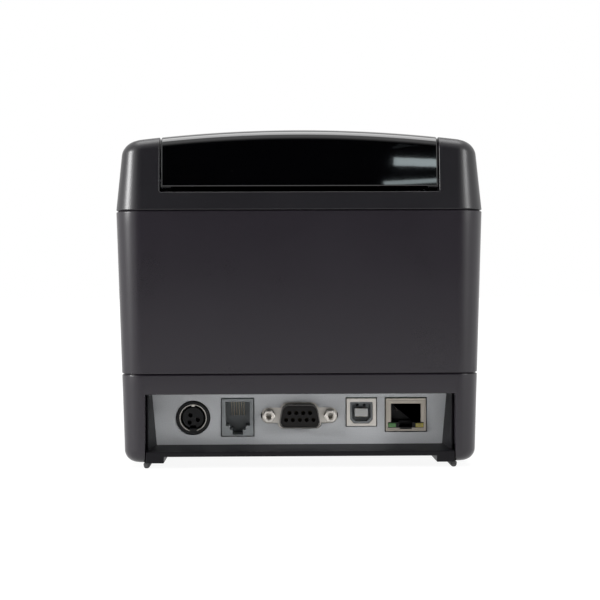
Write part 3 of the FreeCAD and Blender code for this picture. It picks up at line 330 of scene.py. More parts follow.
def joined(name, parts):
    """Several parts as the loose shells of one mesh."""
    only(parts[0])
    for part in parts:
        part.select_set(True)
    bpy.ops.object.join()
    parts[0].name = name
    parts[0].data.name = name
    return parts[0]


def copies(piece, moves):
    """A copy of the piece at each move, with its own mesh."""
    twins = []
    for move in moves:
        twin = bpy.data.objects.new(piece.name, piece.data.copy())
        twin.data.transform(Matrix.Translation(move))
        bpy.context.scene.collection.objects.link(twin)
        twins.append(twin)
    return twins


head_radius = 2.8 * mm
head_height = 1.7 * mm
recess_width = 0.7 * mm
recess_length = 3.2 * mm
recess_depth = 1.1 * mm
shank_radius = 1.5 * mm
shank_start = 1.6 * mm
screw_low, screw_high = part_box("case_screws")
screw_x = screw_high.x - head_radius
screw_y = screw_low.y + head_radius
foot = Vector((-screw_x, screw_y, screw_low.z))
head_middle = (-screw_x, screw_y, screw_low.z + head_height / 2)
head = rod("head", "z", head_middle, head_radius, head_height, sides=40)
for width, length in ((recess_width, recess_length), (recess_length, recess_width)):
    half = Vector((width / 2, length / 2, recess_depth))
    combine(head, box("recess", foot - half, foot + half), "DIFFERENCE")
rounded(head, 0.25 * mm, segments=3)
shank_middle = (-screw_x, screw_y, (screw_low.z + shank_start + screw_high.z) / 2)
shank = rod("shank", "z", shank_middle, shank_radius, screw_high.z - screw_low.z - shank_start)
case_screw = joined("case_screw", [head, shank])
across = Vector((2 * screw_x, 0, 0))
along = Vector((0, screw_high.y - head_radius - screw_y, 0))
case_screws = [case_screw] + copies(case_screw, (along, across, across + along))
stands_for(joined("case_screws_set", case_screws), zinc, "case_screws")

# Connector panel: a pressed steel plate in silver paint at the back of the recess.
# Its cut-outs fit round the sockets, and it stands in grooves between the chassis and the base.
# Its colour is set paler than the silver paint: painted fill light standing in for the light that the
# recess keeps off the plate.
panel_paint_with_painted_fill = moulded(
    "panel_silver", (0.64, 0.655, 0.675), 0.42, 0.5 * mm, 0.012 * mm, constants={"Metallic": 0.2}
)
panel_low, panel_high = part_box("connector_panel")
jack_low, jack_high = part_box("jackscrews")
jack_radius = 2.75 * mm
jack_x = jack_high.x - jack_radius
serial_z = (jack_low.z + jack_high.z) / 2
d_slope = math.radians(10)
d_cutout = (18.6 * mm, 10.7 * mm, 2.6 * mm)
slot_half = 3.2 * mm
power_hole = 6.64 * mm
play = 0.35 * mm


def d_form(name, size, near, far):
    """A bar with the D outline of a serial socket, wide side down, of a width, height and corner radius."""
    width, height, radius = size
    bpy.ops.object.select_all(action="DESELECT")
    bpy.ops.mesh.primitive_plane_add(size=1, rotation=TURNS["y"])
    bar = ready(name)
    for corner in bar.data.vertices:
        side = math.copysign(1, corner.co.x)
        taper = height * math.tan(d_slope) if corner.co.z > 0 else 0
        corner.co = (side * (width / 2 - taper), near, serial_z + math.copysign(height / 2, corner.co.z))
    bpy.ops.object.mode_set(mode="EDIT")
    bpy.ops.mesh.select_all(action="SELECT")
    bpy.ops.mesh.bevel(offset=radius, segments=8, affect="VERTICES")
    bpy.ops.mesh.select_all(action="SELECT")
    bpy.ops.mesh.extrude_region_move(TRANSFORM_OT_translate={"value": (0, far - near, 0)})
    bpy.ops.mesh.select_all(action="SELECT")
    bpy.ops.mesh.normals_make_consistent(inside=False)
    bpy.ops.object.mode_set(mode="OBJECT")
    return bar


panel = box("connector_panel_plate", panel_low, panel_high)
through = (panel_low.y - mm, panel_high.y + mm)
middle_y = (panel_low.y + panel_high.y) / 2
ring_low, ring_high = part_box("power_jack_ring")
power_x = (ring_low.x + ring_high.x) / 2
power_z = (ring_low.z + ring_high.z) / 2
hole = rod("hole", "y", (power_x, middle_y, power_z), power_hole + play, 4 * mm, sides=64)
combine(panel, hole, "DIFFERENCE")
for node in ("drawer_jack", "usb_shell", "lan_shell"):
    low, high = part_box(node)
    hole_low = (low.x - play, through[0], low.z - play)
    combine(panel, box("hole", hole_low, (high.x + play, through[1], high.z + play)), "DIFFERENCE")
for side in (-1, 1):
    end = rod("end", "y", (side * jack_x, middle_y, serial_z), slot_half, 4 * mm, sides=48)
    combine(panel, end, "DIFFERENCE")
slot_low = (-jack_x, through[0], serial_z - slot_half)
combine(panel, box("slot", slot_low, (jack_x, through[1], serial_z + slot_half)), "DIFFERENCE")
combine(panel, d_form("d_hole", d_cutout, through[0], through[1]), "DIFFERENCE")
rounded(panel, 0.12 * mm)
stands_for(panel, panel_paint_with_painted_fill, "connector_panel")

# Power socket: a round three-pole socket in black nylon with a plated steel sleeve round the insert.
# The body is soldered under the main board, with its collar in the panel, and a sprung clip at the top.
nylon_black = moulded(
    "nylon_black", (0.008, 0.008, 0.009), 0.36, 0.25 * mm, 0.004 * mm,
    constants={"Specular IOR Level": 0.25},
)
nickel = plated("nickel", (0.86, 0.82, 0.76), 0.36, metallic=0.75)
power_body = softened("power_jack_body", nylon_black, 0.2 * mm)
socket_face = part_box("power_jack_body")[1].y
key_low = (power_x - 1.5 * mm, socket_face - 9 * mm, power_z - 5.7 * mm)
key = box("key", key_low, (power_x + 1.5 * mm, socket_face - 0.1 * mm, power_z - 4.2 * mm))
rounded(key, 0.2 * mm)
power_body = joined("power_socket_body", [power_body, key])
stands_for(power_body, nylon_black, "power_jack_body")
sleeve_outside = 5.48 * mm
sleeve_inside = 5.2 * mm
sleeve_length = ring_high.y - ring_low.y
sleeve_middle = (power_x, (ring_low.y + ring_high.y) / 2, power_z)
ring = rod("power_ring", "y", sleeve_middle, sleeve_outside, sleeve_length, sides=72)
bore = rod("bore", "y", (power_x, ring_low.y, power_z), sleeve_inside, 30 * mm, sides=72)
combine(ring, bore, "DIFFERENCE")
way_low = (power_x - 1.4 * mm, ring_low.y - mm, power_z - 7 * mm)
combine(ring, box("way", way_low, (power_x + 1.4 * mm, ring_high.y + mm, power_z - 3 * mm)), "DIFFERENCE")
rounded(ring, 0.06 * mm)
stands_for(ring, nickel, "power_jack_ring")
clip_low = (power_x - 0.7 * mm, socket_face - 6 * mm, power_z + 4.5 * mm)
clip = box("power_clip", clip_low, (power_x + 0.7 * mm, socket_face - 0.05 * mm, power_z + 5.9 * mm))
rounded(clip, 0.3 * mm, segments=3)
added(clip, nickel, "case")

# Cash drawer socket: a six-pole modular socket in grey nylon.
# Six sprung wires of gilded bronze slant down and back from its upper lip.
jack_grey = moulded("jack_grey", (0.34, 0.36, 0.37), 0.42, 0.3 * mm, 0.006 * mm)
bronze_wire = plated("bronze_wire", (0.86, 0.80, 0.68), 0.42, metallic=0.35)
softened("drawer_jack", jack_grey, 0.14 * mm)


def sprung_wires(node, count, finish, pitch, thickness, drop):
    """Round contact wires that hang from the upper lip and slant down into the socket."""
    low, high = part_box(node)
    x = (low.x + high.x) / 2 - (count - 1) / 2 * pitch
    bpy.ops.object.select_all(action="DESELECT")
    bpy.ops.curve.primitive_bezier_curve_add(location=(0, 0, 0))
    curve = bpy.context.object.data
    points = curve.splines[0].bezier_points
    points.add(1)
    lip = (x, high.y, high.z - 0.3 * mm)
    bend = (x, high.y - 1.2 * mm, high.z - 1.1 * mm)
    tip = (x, low.y + 1 * mm, high.z - drop)
    for point, place in zip(points, (lip, bend, tip)):
        point.co = place
        point.handle_left_type = "AUTO"
        point.handle_right_type = "AUTO"
    curve.bevel_depth = thickness / 2
    curve.bevel_resolution = 3
    curve.use_fill_caps = True
    bpy.ops.object.convert(target="MESH")
    bpy.ops.object.shade_smooth_by_angle(angle=math.radians(50))
    wire = bpy.context.object
    wires = [wire] + copies(wire, [Vector((i * pitch, 0, 0)) for i in range(1, count)])
    stands_for(joined(f"{node}_wires", wires), finish, node)


sprung_wires("drawer_contacts", 6, bronze_wire, 1.02 * mm, 0.5 * mm, 6.2 * mm)

# Serial socket: a nine-pole D-shaped socket, wide side down, with its flange behind the panel.
# A dark plated shell stands round a black insert with nine holes, between two hexagon jack screws.
gunmetal = plated("gunmetal", (0.16, 0.155, 0.15), 0.3)
gilt = plated("gilt", (0.86, 0.74, 0.52), 0.3)
# The contact sleeves get a darkened bronze instead of gilt: painted shade that keeps the nine holes dark.
aged_bronze = plated("aged_bronze", (0.07, 0.06, 0.04), 0.5)
shell_low, shell_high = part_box("serial_shell")
serial_low, serial_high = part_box("serial_insert")
flange_hole = (16.4 * mm, 8.5 * mm, 2.2 * mm)
rim_outside = (17.3 * mm, 9.43 * mm, 2.6 * mm)
rim_inside = (16.3 * mm, 8.43 * mm, 2.2 * mm)
insert_size = (16.25 * mm, 8.4 * mm, 2.2 * mm)
flange_face = shell_low.y + 1 * mm
before = shell_high.y + mm
behind = shell_low.y - mm
flange = box("serial_flange", shell_low, (shell_high.x, flange_face, shell_high.z))
combine(flange, d_form("d_hole", flange_hole, behind, before), "DIFFERENCE")
rounded(flange, 0.3 * mm, segments=3)
stands_for(flange, nickel, "serial_shell")
shell = d_form("serial_rim", rim_outside, flange_face - 0.5 * mm, shell_high.y)
combine(shell, d_form("d_hole", rim_inside, behind, before), "DIFFERENCE")
rounded(shell, 0.2 * mm, segments=3)
added(shell, gunmetal, "case")
insert_black = moulded(
    "insert_black", (0.0075, 0.0066, 0.0066), 0.4, 0.25 * mm, 0.004 * mm,
    constants={"Specular IOR Level": 0.25},
)
insert = d_form("serial_insert_block", insert_size, behind, serial_high.y)
pole_pitch = 2.77 * mm
row_offset = 1.42 * mm
poles = []
for count, z in ((4, serial_z + row_offset), (5, serial_z - row_offset)):
    for i in range(count):
        poles.append(Vector(((i - (count - 1) / 2) * pole_pitch, serial_high.y, z)))
for pole in poles:
    combine(insert, rod("hole", "y", pole, 0.8 * mm, 10 * mm, sides=24), "DIFFERENCE")
rounded(insert, 0.18 * mm)
rear_block = box("rear_block", serial_low, (serial_high.x, shell_low.y - 0.02 * mm, serial_high.z))
rounded(rear_block, 0.3 * mm)
insert = joined("serial_insert_block", [insert, rear_block])
stands_for(insert, insert_black, "serial_insert")
# Contact sleeves deep in the holes, in the darkened bronze that paints the holes' shade.
tube = rod("tube", "y", poles[0] - Vector((0, 4.5 * mm, 0)), 0.72 * mm, 1.2 * mm, sides=20)
bore = rod("bore", "y", poles[0] - Vector((0, mm, 0)), 0.5 * mm, 6 * mm, sides=16)
combine(tube, bore, "DIFFERENCE")
sleeves = [tube] + copies(tube, [pole - poles[0] for pole in poles[1:]])
sleeves = joined("serial_contacts", sleeves)
rounded(sleeves, 0.06 * mm)
added(sleeves, aged_bronze, "case")

thread_start = 0.9 * mm
thread_pitch = 0.64 * mm
thread_turns = 5
jack_middle = (-jack_x, (jack_low.y + jack_high.y) / 2, serial_z)
jack_length = jack_high.y - jack_low.y
jack = rod("jack", "y", jack_middle, jack_radius, jack_length, sides=6, turn=math.pi / 6)
combine(jack, rod("bore", "y", jack_middle, 1.3 * mm, 2 * jack_length, sides=32), "DIFFERENCE")
rounded(jack, 0.4 * mm, segments=3)
bpy.ops.object.select_all(action="DESELECT")
bpy.ops.mesh.primitive_torus_add(
    location=(-jack_x, jack_high.y - thread_start, serial_z), rotation=TURNS["y"],
    major_radius=1.28 * mm, minor_radius=0.22 * mm, major_segments=32, minor_segments=10,
)
bpy.ops.object.shade_smooth()
thread = ready("thread")
threads = copies(thread, [Vector((0, -thread_pitch * i, 0)) for i in range(1, thread_turns)])
jack = joined("jack", [jack, thread] + threads)
jacks = [jack] + copies(jack, [Vector((2 * jack_x, 0, 0))])
stands_for(joined("jack_screws", jacks), nickel, "jackscrews")

# USB socket: a square drawn steel shell round a grey housing with a pale tongue.
# The lower corners of the opening are cut off so that the plug goes in one way only.
nylon_grey = moulded("nylon_grey", (0.24, 0.255, 0.265), 0.42, 0.3 * mm, 0.006 * mm)
softened("usb_shell", nickel, 0.2 * mm)


def cut_corners(name, low, high, cut):
    """A block with its two lower edges along Y cut off."""
    block = box(name, low, high)
    bpy.ops.object.mode_set(mode="EDIT")
    bpy.ops.mesh.select_mode(type="EDGE")
    bpy.ops.mesh.select_all(action="DESELECT")
    shape = bmesh.from_edit_mesh(block.data)
    for edge in shape.edges:
        along = (edge.verts[0].co - edge.verts[1].co).normalized()
        edge.select = abs(along.y) > 0.9 and edge.verts[0].co.z < (low[2] + high[2]) / 2
    bmesh.update_edit_mesh(block.data)
    bpy.ops.mesh.bevel(offset=cut, segments=1, affect="EDGES")
    bpy.ops.object.mode_set(mode="OBJECT")
    return block


usb_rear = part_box("usb_insert")[0].y
usb_shell_low, usb_shell_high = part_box("usb_shell")
usb_x = (usb_shell_low.x + usb_shell_high.x) / 2
usb_top = usb_shell_high.z - 1.5 * mm
usb_face = usb_shell_high.y
housing = cut_corners(
    "usb_housing", (usb_x - 4.55 * mm, usb_rear, usb_top - 8.65 * mm),
    (usb_x + 4.55 * mm, usb_face - 0.5 * mm, usb_top - 0.05 * mm), 1.6 * mm,
)
moat = cut_corners(
    "moat", (usb_x - 3.8 * mm, usb_face - 5 * mm, usb_top - 7.9 * mm),
    (usb_x + 3.8 * mm, usb_face + mm, usb_top - 0.7 * mm), 1.4 * mm,
)
combine(housing, moat, "DIFFERENCE")
for side in (-1, 1):
    hole_x = usb_x + side * 1.45 * mm
    hole_low = (hole_x - 0.55 * mm, usb_face - 8 * mm, usb_top - 1.95 * mm)
    hole_high = (hole_x + 0.55 * mm, usb_face - 4 * mm, usb_top - 0.95 * mm)
    combine(housing, box("hole", hole_low, hole_high), "DIFFERENCE")
rounded(housing, 0.15 * mm)
stands_for(housing, nylon_grey, "usb_insert")
nylon_pale = moulded("nylon_pale", (0.72, 0.72, 0.70), 0.4, 0.3 * mm, 0.004 * mm)
tongue_top = usb_top - 2.7 * mm
tongue_bottom = usb_top - 6.05 * mm
tongue_low = (usb_x - 2.7 * mm, usb_face - 6 * mm, tongue_bottom)
tongue = box("usb_tongue", tongue_low, (usb_x + 2.7 * mm, usb_face - 1.2 * mm, tongue_top))
rounded(tongue, 0.3 * mm, segments=3)
added(tongue, nylon_pale, "case")
strip_x = usb_x - 1.25 * mm
strip_low = (strip_x - 0.5 * mm, usb_face - 5 * mm, tongue_top - 0.08 * mm)
strip = box("strip", strip_low, (strip_x + 0.5 * mm, usb_face - 1.6 * mm, tongue_top + 0.08 * mm))
across = Vector((2 * (usb_x - strip_x), 0, 0))
below = Vector((0, 0, tongue_bottom - tongue_top))
strips = joined("usb_contacts", [strip] + copies(strip, (below, across, across + below)))
rounded(strips, 0.04 * mm)
added(strips, gilt, "case")

# Network socket: a steel shell round a black nylon insert with eight contact wires.
# Two small light guides, green and yellow, end in the lower corners.
tinned = plated("tinned_steel", (0.60, 0.55, 0.48), 0.4, metallic=0.75)
softened("lan_shell", tinned, 0.2 * mm)
softened("lan_insert", nylon_black, 0.12 * mm, clamp=True)
lan_low, lan_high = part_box("lan_insert")
lan_x = (lan_low.x + lan_high.x) / 2
lan_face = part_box("lan_shell")[1].y
face_low = (lan_low.x, lan_high.y + 0.02 * mm, lan_low.z)
face = box("lan_face", face_low, (lan_high.x, lan_face - 0.06 * mm, lan_high.z))
windows = ((6.1 * mm, 8.9 * mm, 1.2 * mm), (7.3 * mm, 11.1 * mm, 8.8 * mm), (2.4 * mm, 12 * mm, 11 * mm))
for half, bottom, top in windows:
    hole_low = (lan_x - half, lan_high.y - mm, lan_high.z - bottom)
    combine(face, box("hole", hole_low, (lan_x + half, lan_face + mm, lan_high.z - top)), "DIFFERENCE")
rounded(face, 0.05 * mm)
added(face, tinned, "case")
sprung_wires("lan_contacts", 8, bronze_wire, 1.02 * mm, 0.4 * mm, 3.4 * mm)


def light_guide(name, colour):
    """Clear tinted plastic with a cloudy middle."""
    finish = Finish(name, {"Roughness": 0.25, "Coat Weight": 0.4})
    cloud = finish.noise(1.5 * mm)
    finish.feed("Base Color", finish.mix(cloud, shade(colour, 0.6), shade(colour, 1.2)))
    return finish


softened("lan_lamp_green", light_guide("green_guide", (0.09, 0.32, 0.07)), 0.2 * mm)
softened("lan_lamp_yellow", light_guide("yellow_guide", (0.55, 0.45, 0.04)), 0.2 * mm)

# Power switch: a black rocker switch snapped into the left wall of the base.
# The rocker turns on two trunnions inside its frame.
softened("power_switch", nylon_black, 0.4 * mm)
softened("power_rocker", nylon_black, 0.35 * mm)
mark_white = moulded("mark_white", (0.72, 0.72, 0.70), 0.5, 0.2 * mm, 0.001 * mm)
rocker_low, rocker_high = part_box("power_rocker")
rocker_y = (rocker_low.y + rocker_high.y) / 2
rocker_z = (rocker_low.z + rocker_high.z) / 2
rocker_x = rocker_low.x + 0.6 * mm
tilt = math.atan2(1.2, 8)
bpy.ops.object.select_all(action="DESELECT")
bpy.ops.mesh.primitive_cube_add(
    size=1, location=(rocker_x, rocker_y - 4 * mm, rocker_z), rotation=(0, 0, -tilt),
    scale=(0.06 * mm, 0.5 * mm, 3.4 * mm),
)
stroke = ready("stroke")
bpy.ops.object.select_all(action="DESELECT")
bpy.ops.mesh.primitive_torus_add(
    location=(rocker_x + 0.17 * mm, rocker_y + 4 * mm, rocker_z), rotation=(0, math.pi / 2, tilt),
    major_radius=1.4 * mm, minor_radius=0.25 * mm, major_segments=48, minor_segments=16,
)
marks = joined("rocker_marks", [stroke, ready("ring")])
rounded(marks, 0.02 * mm)
added(marks, mark_white, nodes["power_rocker"]["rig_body"])

# Main board: a green glass-fibre board that hangs over the sockets, with its chips, coils and capacitors.
# Four screws hold it to the pillars of the chassis.
board_green = moulded("board_green", (0.012, 0.10, 0.035), 0.35, 0.8 * mm, 0.01 * mm)
softened("main_board", board_green, 0.1 * mm)
softened("board_parts", nylon_black, 0.3 * mm)
softened("board_screws", zinc, 0.3 * mm)

# Middle case: a plain drafted casing, moulded in the same satin black as the base.
# Fine shadow lines part it from the base and from the top.
softened("mid_case", satin_black, 0.35 * mm)

# Paper bin: a round-bottomed black trough hung from a deck on the middle case's ledge.
# A paper sensor is clipped to its right side.
softened("paper_bin", tray_black, 0.4 * mm)
softened("paper_sensor", nylon_black, 0.4 * mm)

# Print mechanism frame: folded galvanised sheet steel, screwed to the shelf in front of the bin.
# Two can motors sit on the inside of its left plate.
galvanised = plated("galvanised", (0.52, 0.53, 0.55), 0.4)
softened("mech_frame", galvanised, 0.2 * mm)
softened("cutter_bracket", galvanised, 0.2 * mm)
softened("feed_motor", galvanised, 0.5 * mm)
softened("cutter_motor", galvanised, 0.5 * mm)

# Print head: an extruded aluminium bar on two trunnions with a glazed ceramic strip towards the platen.
# Two coil springs press it forward.
aluminium = plated("aluminium", (0.66, 0.67, 0.69), 0.35, streak=(12, 1, 1))
ceramic = moulded("ceramic", (0.62, 0.56, 0.46), 0.22, 0.4 * mm, 0.002 * mm)
ground_steel = plated("ground_steel", (0.56, 0.56, 0.57), 0.28, streak=(8, 1, 1))
spring_low, spring_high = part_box("head_springs")
wire = 0.8 * mm
coil_radius = (spring_high.z - spring_low.z) / 2 - wire / 2
spring_x = spring_high.x - coil_radius - wire / 2
spring_z = (spring_low.z + spring_high.z) / 2
bpy.ops.object.select_all(action="DESELECT")
bpy.ops.mesh.primitive_circle_add(vertices=12, radius=wire / 2, location=(coil_radius, 0, 0))
coil = ready("coil")
turns = coil.modifiers.new("turns", "SCREW")
turns.axis = "Y"
turns.iterations = 5
turns.steps = 24
turns.render_steps = 24
turns.screw_offset = (spring_high.y - spring_low.y - wire) / turns.iterations
apply(coil, turns)
bpy.ops.object.mode_set(mode="EDIT")
bpy.ops.mesh.select_all(action="SELECT")
bpy.ops.mesh.fill_holes(sides=0)
bpy.ops.mesh.select_all(action="SELECT")
bpy.ops.mesh.normals_make_consistent(inside=False)
bpy.ops.object.mode_set(mode="OBJECT")
bpy.ops.object.shade_smooth_by_angle(angle=math.radians(40))
coil.data.transform(Matrix.Translation((-spring_x, spring_low.y + wire / 2, spring_z)))
coils = joined("coil_springs", [coil] + copies(coil, [Vector((2 * spring_x, 0, 0))]))
stands_for(coils, ground_steel, "head_springs")
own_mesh(coils)
softened("head_sink", aluminium, 0.12 * mm, clamp=True)
softened("head_strip", ceramic, 0.1 * mm)

# Gear trains: white acetal wheels on steel studs, one train for the paper feed and one for the cutter.
# They stand outside the frame's left plate.
acetal = moulded("acetal", (0.66, 0.66, 0.62), 0.38, 0.4 * mm, 0.003 * mm)
for node in ("feed_idler", "feed_pinion", "cutter_idler", "cutter_pinion", "platen_gear", "blade_racks"):
    softened(node, acetal, 0.08 * mm)

# Cutter: a ground steel blade with a shallow V edge, driven by two racks and a pinion shaft.
# It slides under the bracket and across the paper slot.
softened("cutter_shaft", ground_steel, 0.08 * mm)
softened("moving_blade", ground_steel, 0.08 * mm)

# Latch and release: a black lever on the right of the frame, worked by the long button on the shoulder.
# The hook holds the platen shaft's collar while the lid is shut.
softened("latch_lever", tray_black, 0.3 * mm)

# Top bezel: two matt shoulders joined by a low band behind the lid, moulded in one piece.
# The outside has a coarser spark grain than the casing below, and holds the buttons and lamps.
shoulder_black = moulded("shoulder_black", (0.0092, 0.0086, 0.0108), 0.34, 0.5 * mm, 0.022 * mm, dust=0.5)
shoulder_low, shoulder_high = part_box("top_bezel")
rear = shoulder_high.y
top_height = 32.45 * mm
half_width = shoulder_high.x
seam = shoulder_low.z
roof_top = seam + top_height
lean = math.radians(6)
roof_slope = math.radians(4)
crown_radius = 520 * mm
plan_radius = 11 * mm
roof_radius = 5.0 * mm
strip = 4 * mm


def roof_at(x, y):
    """Height of the crowned roof, which falls towards the front."""
    return roof_top - (rear - y) * math.tan(roof_slope) - x * x / (2 * crown_radius)


def face_up(piece):
    """Select the flat faces that look up."""
    bpy.ops.mesh.select_mode(type="FACE")
    bpy.ops.mesh.select_all(action="DESELECT")
    shape = bmesh.from_edit_mesh(piece.data)
    for face in shape.faces:
        face.select = face.normal.z > 0.99
    bmesh.update_edit_mesh(piece.data)


def slide_to_roof(shape, inset):
    """Lower each upper corner along its leaning wall to the crowned roof."""
    for corner in [corner for corner in shape.verts if corner.co.z > seam + mm]:
        ends = [edge.other_vert(corner) for edge in corner.link_edges]
        foot = [end.co for end in ends if end.co.z < seam + 0.1 * mm][0]
        up = corner.co - foot
        share = 1.0
        for _ in range(4):
            spot = foot + up * share
            share = (roof_at(spot.x, spot.y) - inset - seam) / up.z
        corner.co = foot + up * share


def roof_form(name, inset):
    """The outside of the top as a closed form, or a copy drawn in by inset."""
    height = roof_top - seam
    bpy.ops.object.select_all(action="DESELECT")
    bpy.ops.mesh.primitive_plane_add(size=2, location=(0, 0, seam))
    bpy.context.object.scale = (half_width - inset, rear - inset, 1)
    form = ready(name)
    bpy.ops.object.mode_set(mode="EDIT")
    bpy.ops.mesh.select_all(action="SELECT")
    bpy.ops.mesh.bevel(offset=plan_radius - inset, segments=12, affect="VERTICES")
    face_up(form)
    bpy.ops.mesh.inset(thickness=height * math.tan(lean), depth=height)
    cuts = int(half_width / strip) - 3
    for i in range(-cuts, cuts):
        bpy.ops.mesh.select_all(action="SELECT")
        bpy.ops.mesh.bisect(plane_co=((i + 0.5) * strip, 0, 0), plane_no=(1, 0, 0))
    shape = bmesh.from_edit_mesh(form.data)
    slide_to_roof(shape, inset)
    for edge in shape.edges:
        edge.select = edge.is_boundary
    bmesh.update_edit_mesh(form.data)
    bpy.ops.mesh.select_mode(type="EDGE")
    bpy.ops.mesh.edge_face_add()
    bpy.ops.mesh.select_all(action="SELECT")
    bpy.ops.mesh.normals_make_consistent(inside=False)
    shape = bmesh.from_edit_mesh(form.data)
    for edge in shape.edges:
        steep = [abs(face.normal.z) < 0.7 for face in edge.link_faces]
        edge.select = steep.count(True) == 1 and edge.verts[0].co.z > seam + 5 * mm
    bmesh.update_edit_mesh(form.data)
    bpy.ops.mesh.bevel(offset=roof_radius - inset, segments=10, affect="EDGES", clamp_overlap=False)
    bpy.ops.object.mode_set(mode="OBJECT")
    return form


lid_low, lid_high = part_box("lid_shell")
lid_inset = 1.0 * mm
lid_gap = 0.5 * mm
lid_half = lid_high.x - lid_inset
opening_half = lid_half + lid_gap
band_top = seam + 7.1 * mm
band_length = 34 * mm
wall = 2.5 * mm
rib = 1.8 * mm
front = -rear
sky = roof_top + 20 * mm
bezel = roof_form("top_bezel_shell", 0)
hollow = roof_form("hollow", wall)
for side in (-1, 1):
    inner = sorted((side * opening_half, side * (opening_half + rib)))
    combine(hollow, box("rib", (inner[0], 2 * front, 0), (inner[1], 2 * rear, sky)), "DIFFERENCE")
sink = Matrix.Translation((0, 0, -0.01 * mm))
hollow.data.transform(sink)
combine(bezel, hollow, "DIFFERENCE")
opening = box("opening", (-opening_half, 2 * front, seam - mm), (opening_half, rear - band_length, sky))
combine(bezel, opening, "DIFFERENCE")
opening_low = (-opening_half, rear - band_length - mm, band_top)
combine(bezel, box("opening", opening_low, (opening_half, 2 * rear, sky)), "DIFFERENCE")
slack = Vector((0.3 * mm, 0.3 * mm, 0))
for node, length in (("release_button", 22 * mm), ("feed_button", 12 * mm)):
    low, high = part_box(node)
    top = Vector((high.x, low.y + length, sky))
    hole = box("hole", Vector((low.x, low.y, seam + 10 * mm)) - slack, top + slack)
    combine(bezel, hole, "DIFFERENCE")
lens_low, lens_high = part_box("indicator_lenses")
lens_radius = (lens_high.x - lens_low.x) / 2
lens_pitch = 5 * mm
lens_x = (lens_low.x + lens_high.x) / 2
for i in range(3):
    y = lens_low.y + lens_radius + lens_pitch * i
    hole = rod("hole", "z", (lens_x, y, seam + 20 * mm), lens_radius + 0.05 * mm, 20 * mm)
    combine(bezel, hole, "DIFFERENCE")
rounded(bezel, 0.4 * mm, segments=3)
stands_for(bezel, shoulder_black, "top_bezel")

# Controls: a small board under the left shoulder, three smoky lamp lenses and two satin buttons.
# The feed button is on the left, the long lid release on the right.
softened("control_board", board_green, 0.1 * mm, clamp=True)
button_black = moulded("button_black", (0.02, 0.02, 0.022), 0.36, 0.3 * mm, 0.006 * mm)
softened("feed_button", button_black, 0.5 * mm, segments=3)
softened("release_button", button_black, 0.5 * mm, segments=3)
softened("indicator_lenses", light_guide("smoke_lens", (0.05, 0.12, 0.16)), 0.3 * mm)

# Hinge pins: two short steel pins pressed into the inner walls of the shoulders.
# The ears of the lid turn on them.
black_oxide = plated("black_oxide", (0.05, 0.05, 0.055), 0.4)
softened("hinge_pins", black_oxide, 0.2 * mm)

# Front cover: the gloss black piece in front of the paper slot.
# It continues the lid's crown between the shoulders, and carries a saw-toothed steel tear bar.


def polished(name, colour):
    """Polished black plastic with faint haze, hairline scratches and dust."""
    finish = Finish(name, {"Coat Weight": 0.6, "Coat Roughness": 0.015, "IOR": 1.5})
    haze = finish.noise(20 * mm, detail=4)
    lint = finish.specks(13 * mm, 0.1 * mm, 0.45)
    hairs = finish.noise(0.5 * mm, detail=0, stretch=(30, 1, 6))
    scratch = (hairs > 0.78) * (haze > 0.55)
    tone = finish.mix(haze, shade(colour, 0.8), shade(colour, 1.2))
    finish.feed("Base Color", finish.mix(lint * 0.6, tone, dust_grey))
    finish.feed("Roughness", 0.02 + 0.02 * haze + 0.15 * scratch + 0.4 * lint)
    return finish


gloss_black = polished("gloss_black", (0.0012, 0.0012, 0.0018))
lid_wall = 2 * mm
side_wall = 1.4 * mm
cover_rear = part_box("front_cover")[1].y
bracket_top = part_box("cutter_bracket")[1].z


def roof_panel(name, near, far):
    """The part of the roof between the shoulders, from near to far along Y, hollow below."""
    panel = roof_form(name, 0)
    keep = box("keep", (-lid_half, near, seam - mm), (lid_half, far, sky))
    combine(panel, keep, "INTERSECT")
    core = roof_form("core", lid_wall)
    inner = lid_half - side_wall
    keep = box("keep", (-inner, near + lid_wall, seam - 2 * mm), (inner, far - lid_wall, sky))
    combine(core, keep, "INTERSECT")
    core.data.transform(sink)
    combine(panel, core, "DIFFERENCE")
    return panel


cover = roof_panel("front_cover_shell", 2 * front, cover_rear)
gap_low = (-rear, cover_rear - 4 * mm, seam - mm)
gap_high = (rear, cover_rear + mm, bracket_top + 1.4 * mm)
combine(cover, box("gap", gap_low, gap_high), "DIFFERENCE")
rounded(cover, 0.4 * mm, segments=3, clamp=True)
stands_for(cover, gloss_black, "front_cover")
softened("tear_bar", ground_steel, 0.06 * mm)

# Lid: an upside-down tray in polished black plastic, flush with the shoulders.
# Two ears at the rear turn on the hinge pins.
lid_front = lid_low.y
lid_bottom = seam + 9.1 * mm
hinge_low, hinge_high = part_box("hinge_pins")
hinge_y = (hinge_low.y + hinge_high.y) / 2
hinge_z = (hinge_low.z + hinge_high.z) / 2
pin_radius = (hinge_high.z - hinge_low.z) / 2
pin_play = 0.06 * mm
ear_radius = 2.9 * mm
ear_width = 3.9 * mm
lid = roof_panel("lid_cover", lid_front, 2 * rear)
combine(lid, box("below", (-rear, 2 * front, 0), (rear, 2 * rear, lid_bottom)), "DIFFERENCE")
step = box("step", (-rear, 2 * front, 0), (rear, lid_front + 18 * mm, bracket_top + 0.5 * mm))
combine(lid, step, "DIFFERENCE")
rounded(lid, 0.6 * mm, segments=3)
for side in (-1, 1):
    ear = rod("ear", "x", (side * (lid_half - 2 * mm), hinge_y, hinge_z), ear_radius, ear_width)
    combine(lid, ear, "UNION")
    bore = rod("bore", "x", (side * lid_half, hinge_y, hinge_z), pin_radius + pin_play, 12 * mm)
    combine(lid, bore, "DIFFERENCE")
stands_for(lid, gloss_black, "lid_shell")

# Lid liner: a black frame inside the lid, with a cross beam and two arms that hold the platen.
# The fixed blade is screwed under the beam.
softened("lid_liner", tray_black, 0.3 * mm)
softened("fixed_blade", ground_steel, 0.1 * mm)
softened("blade_screws", zinc, 0.25 * mm)

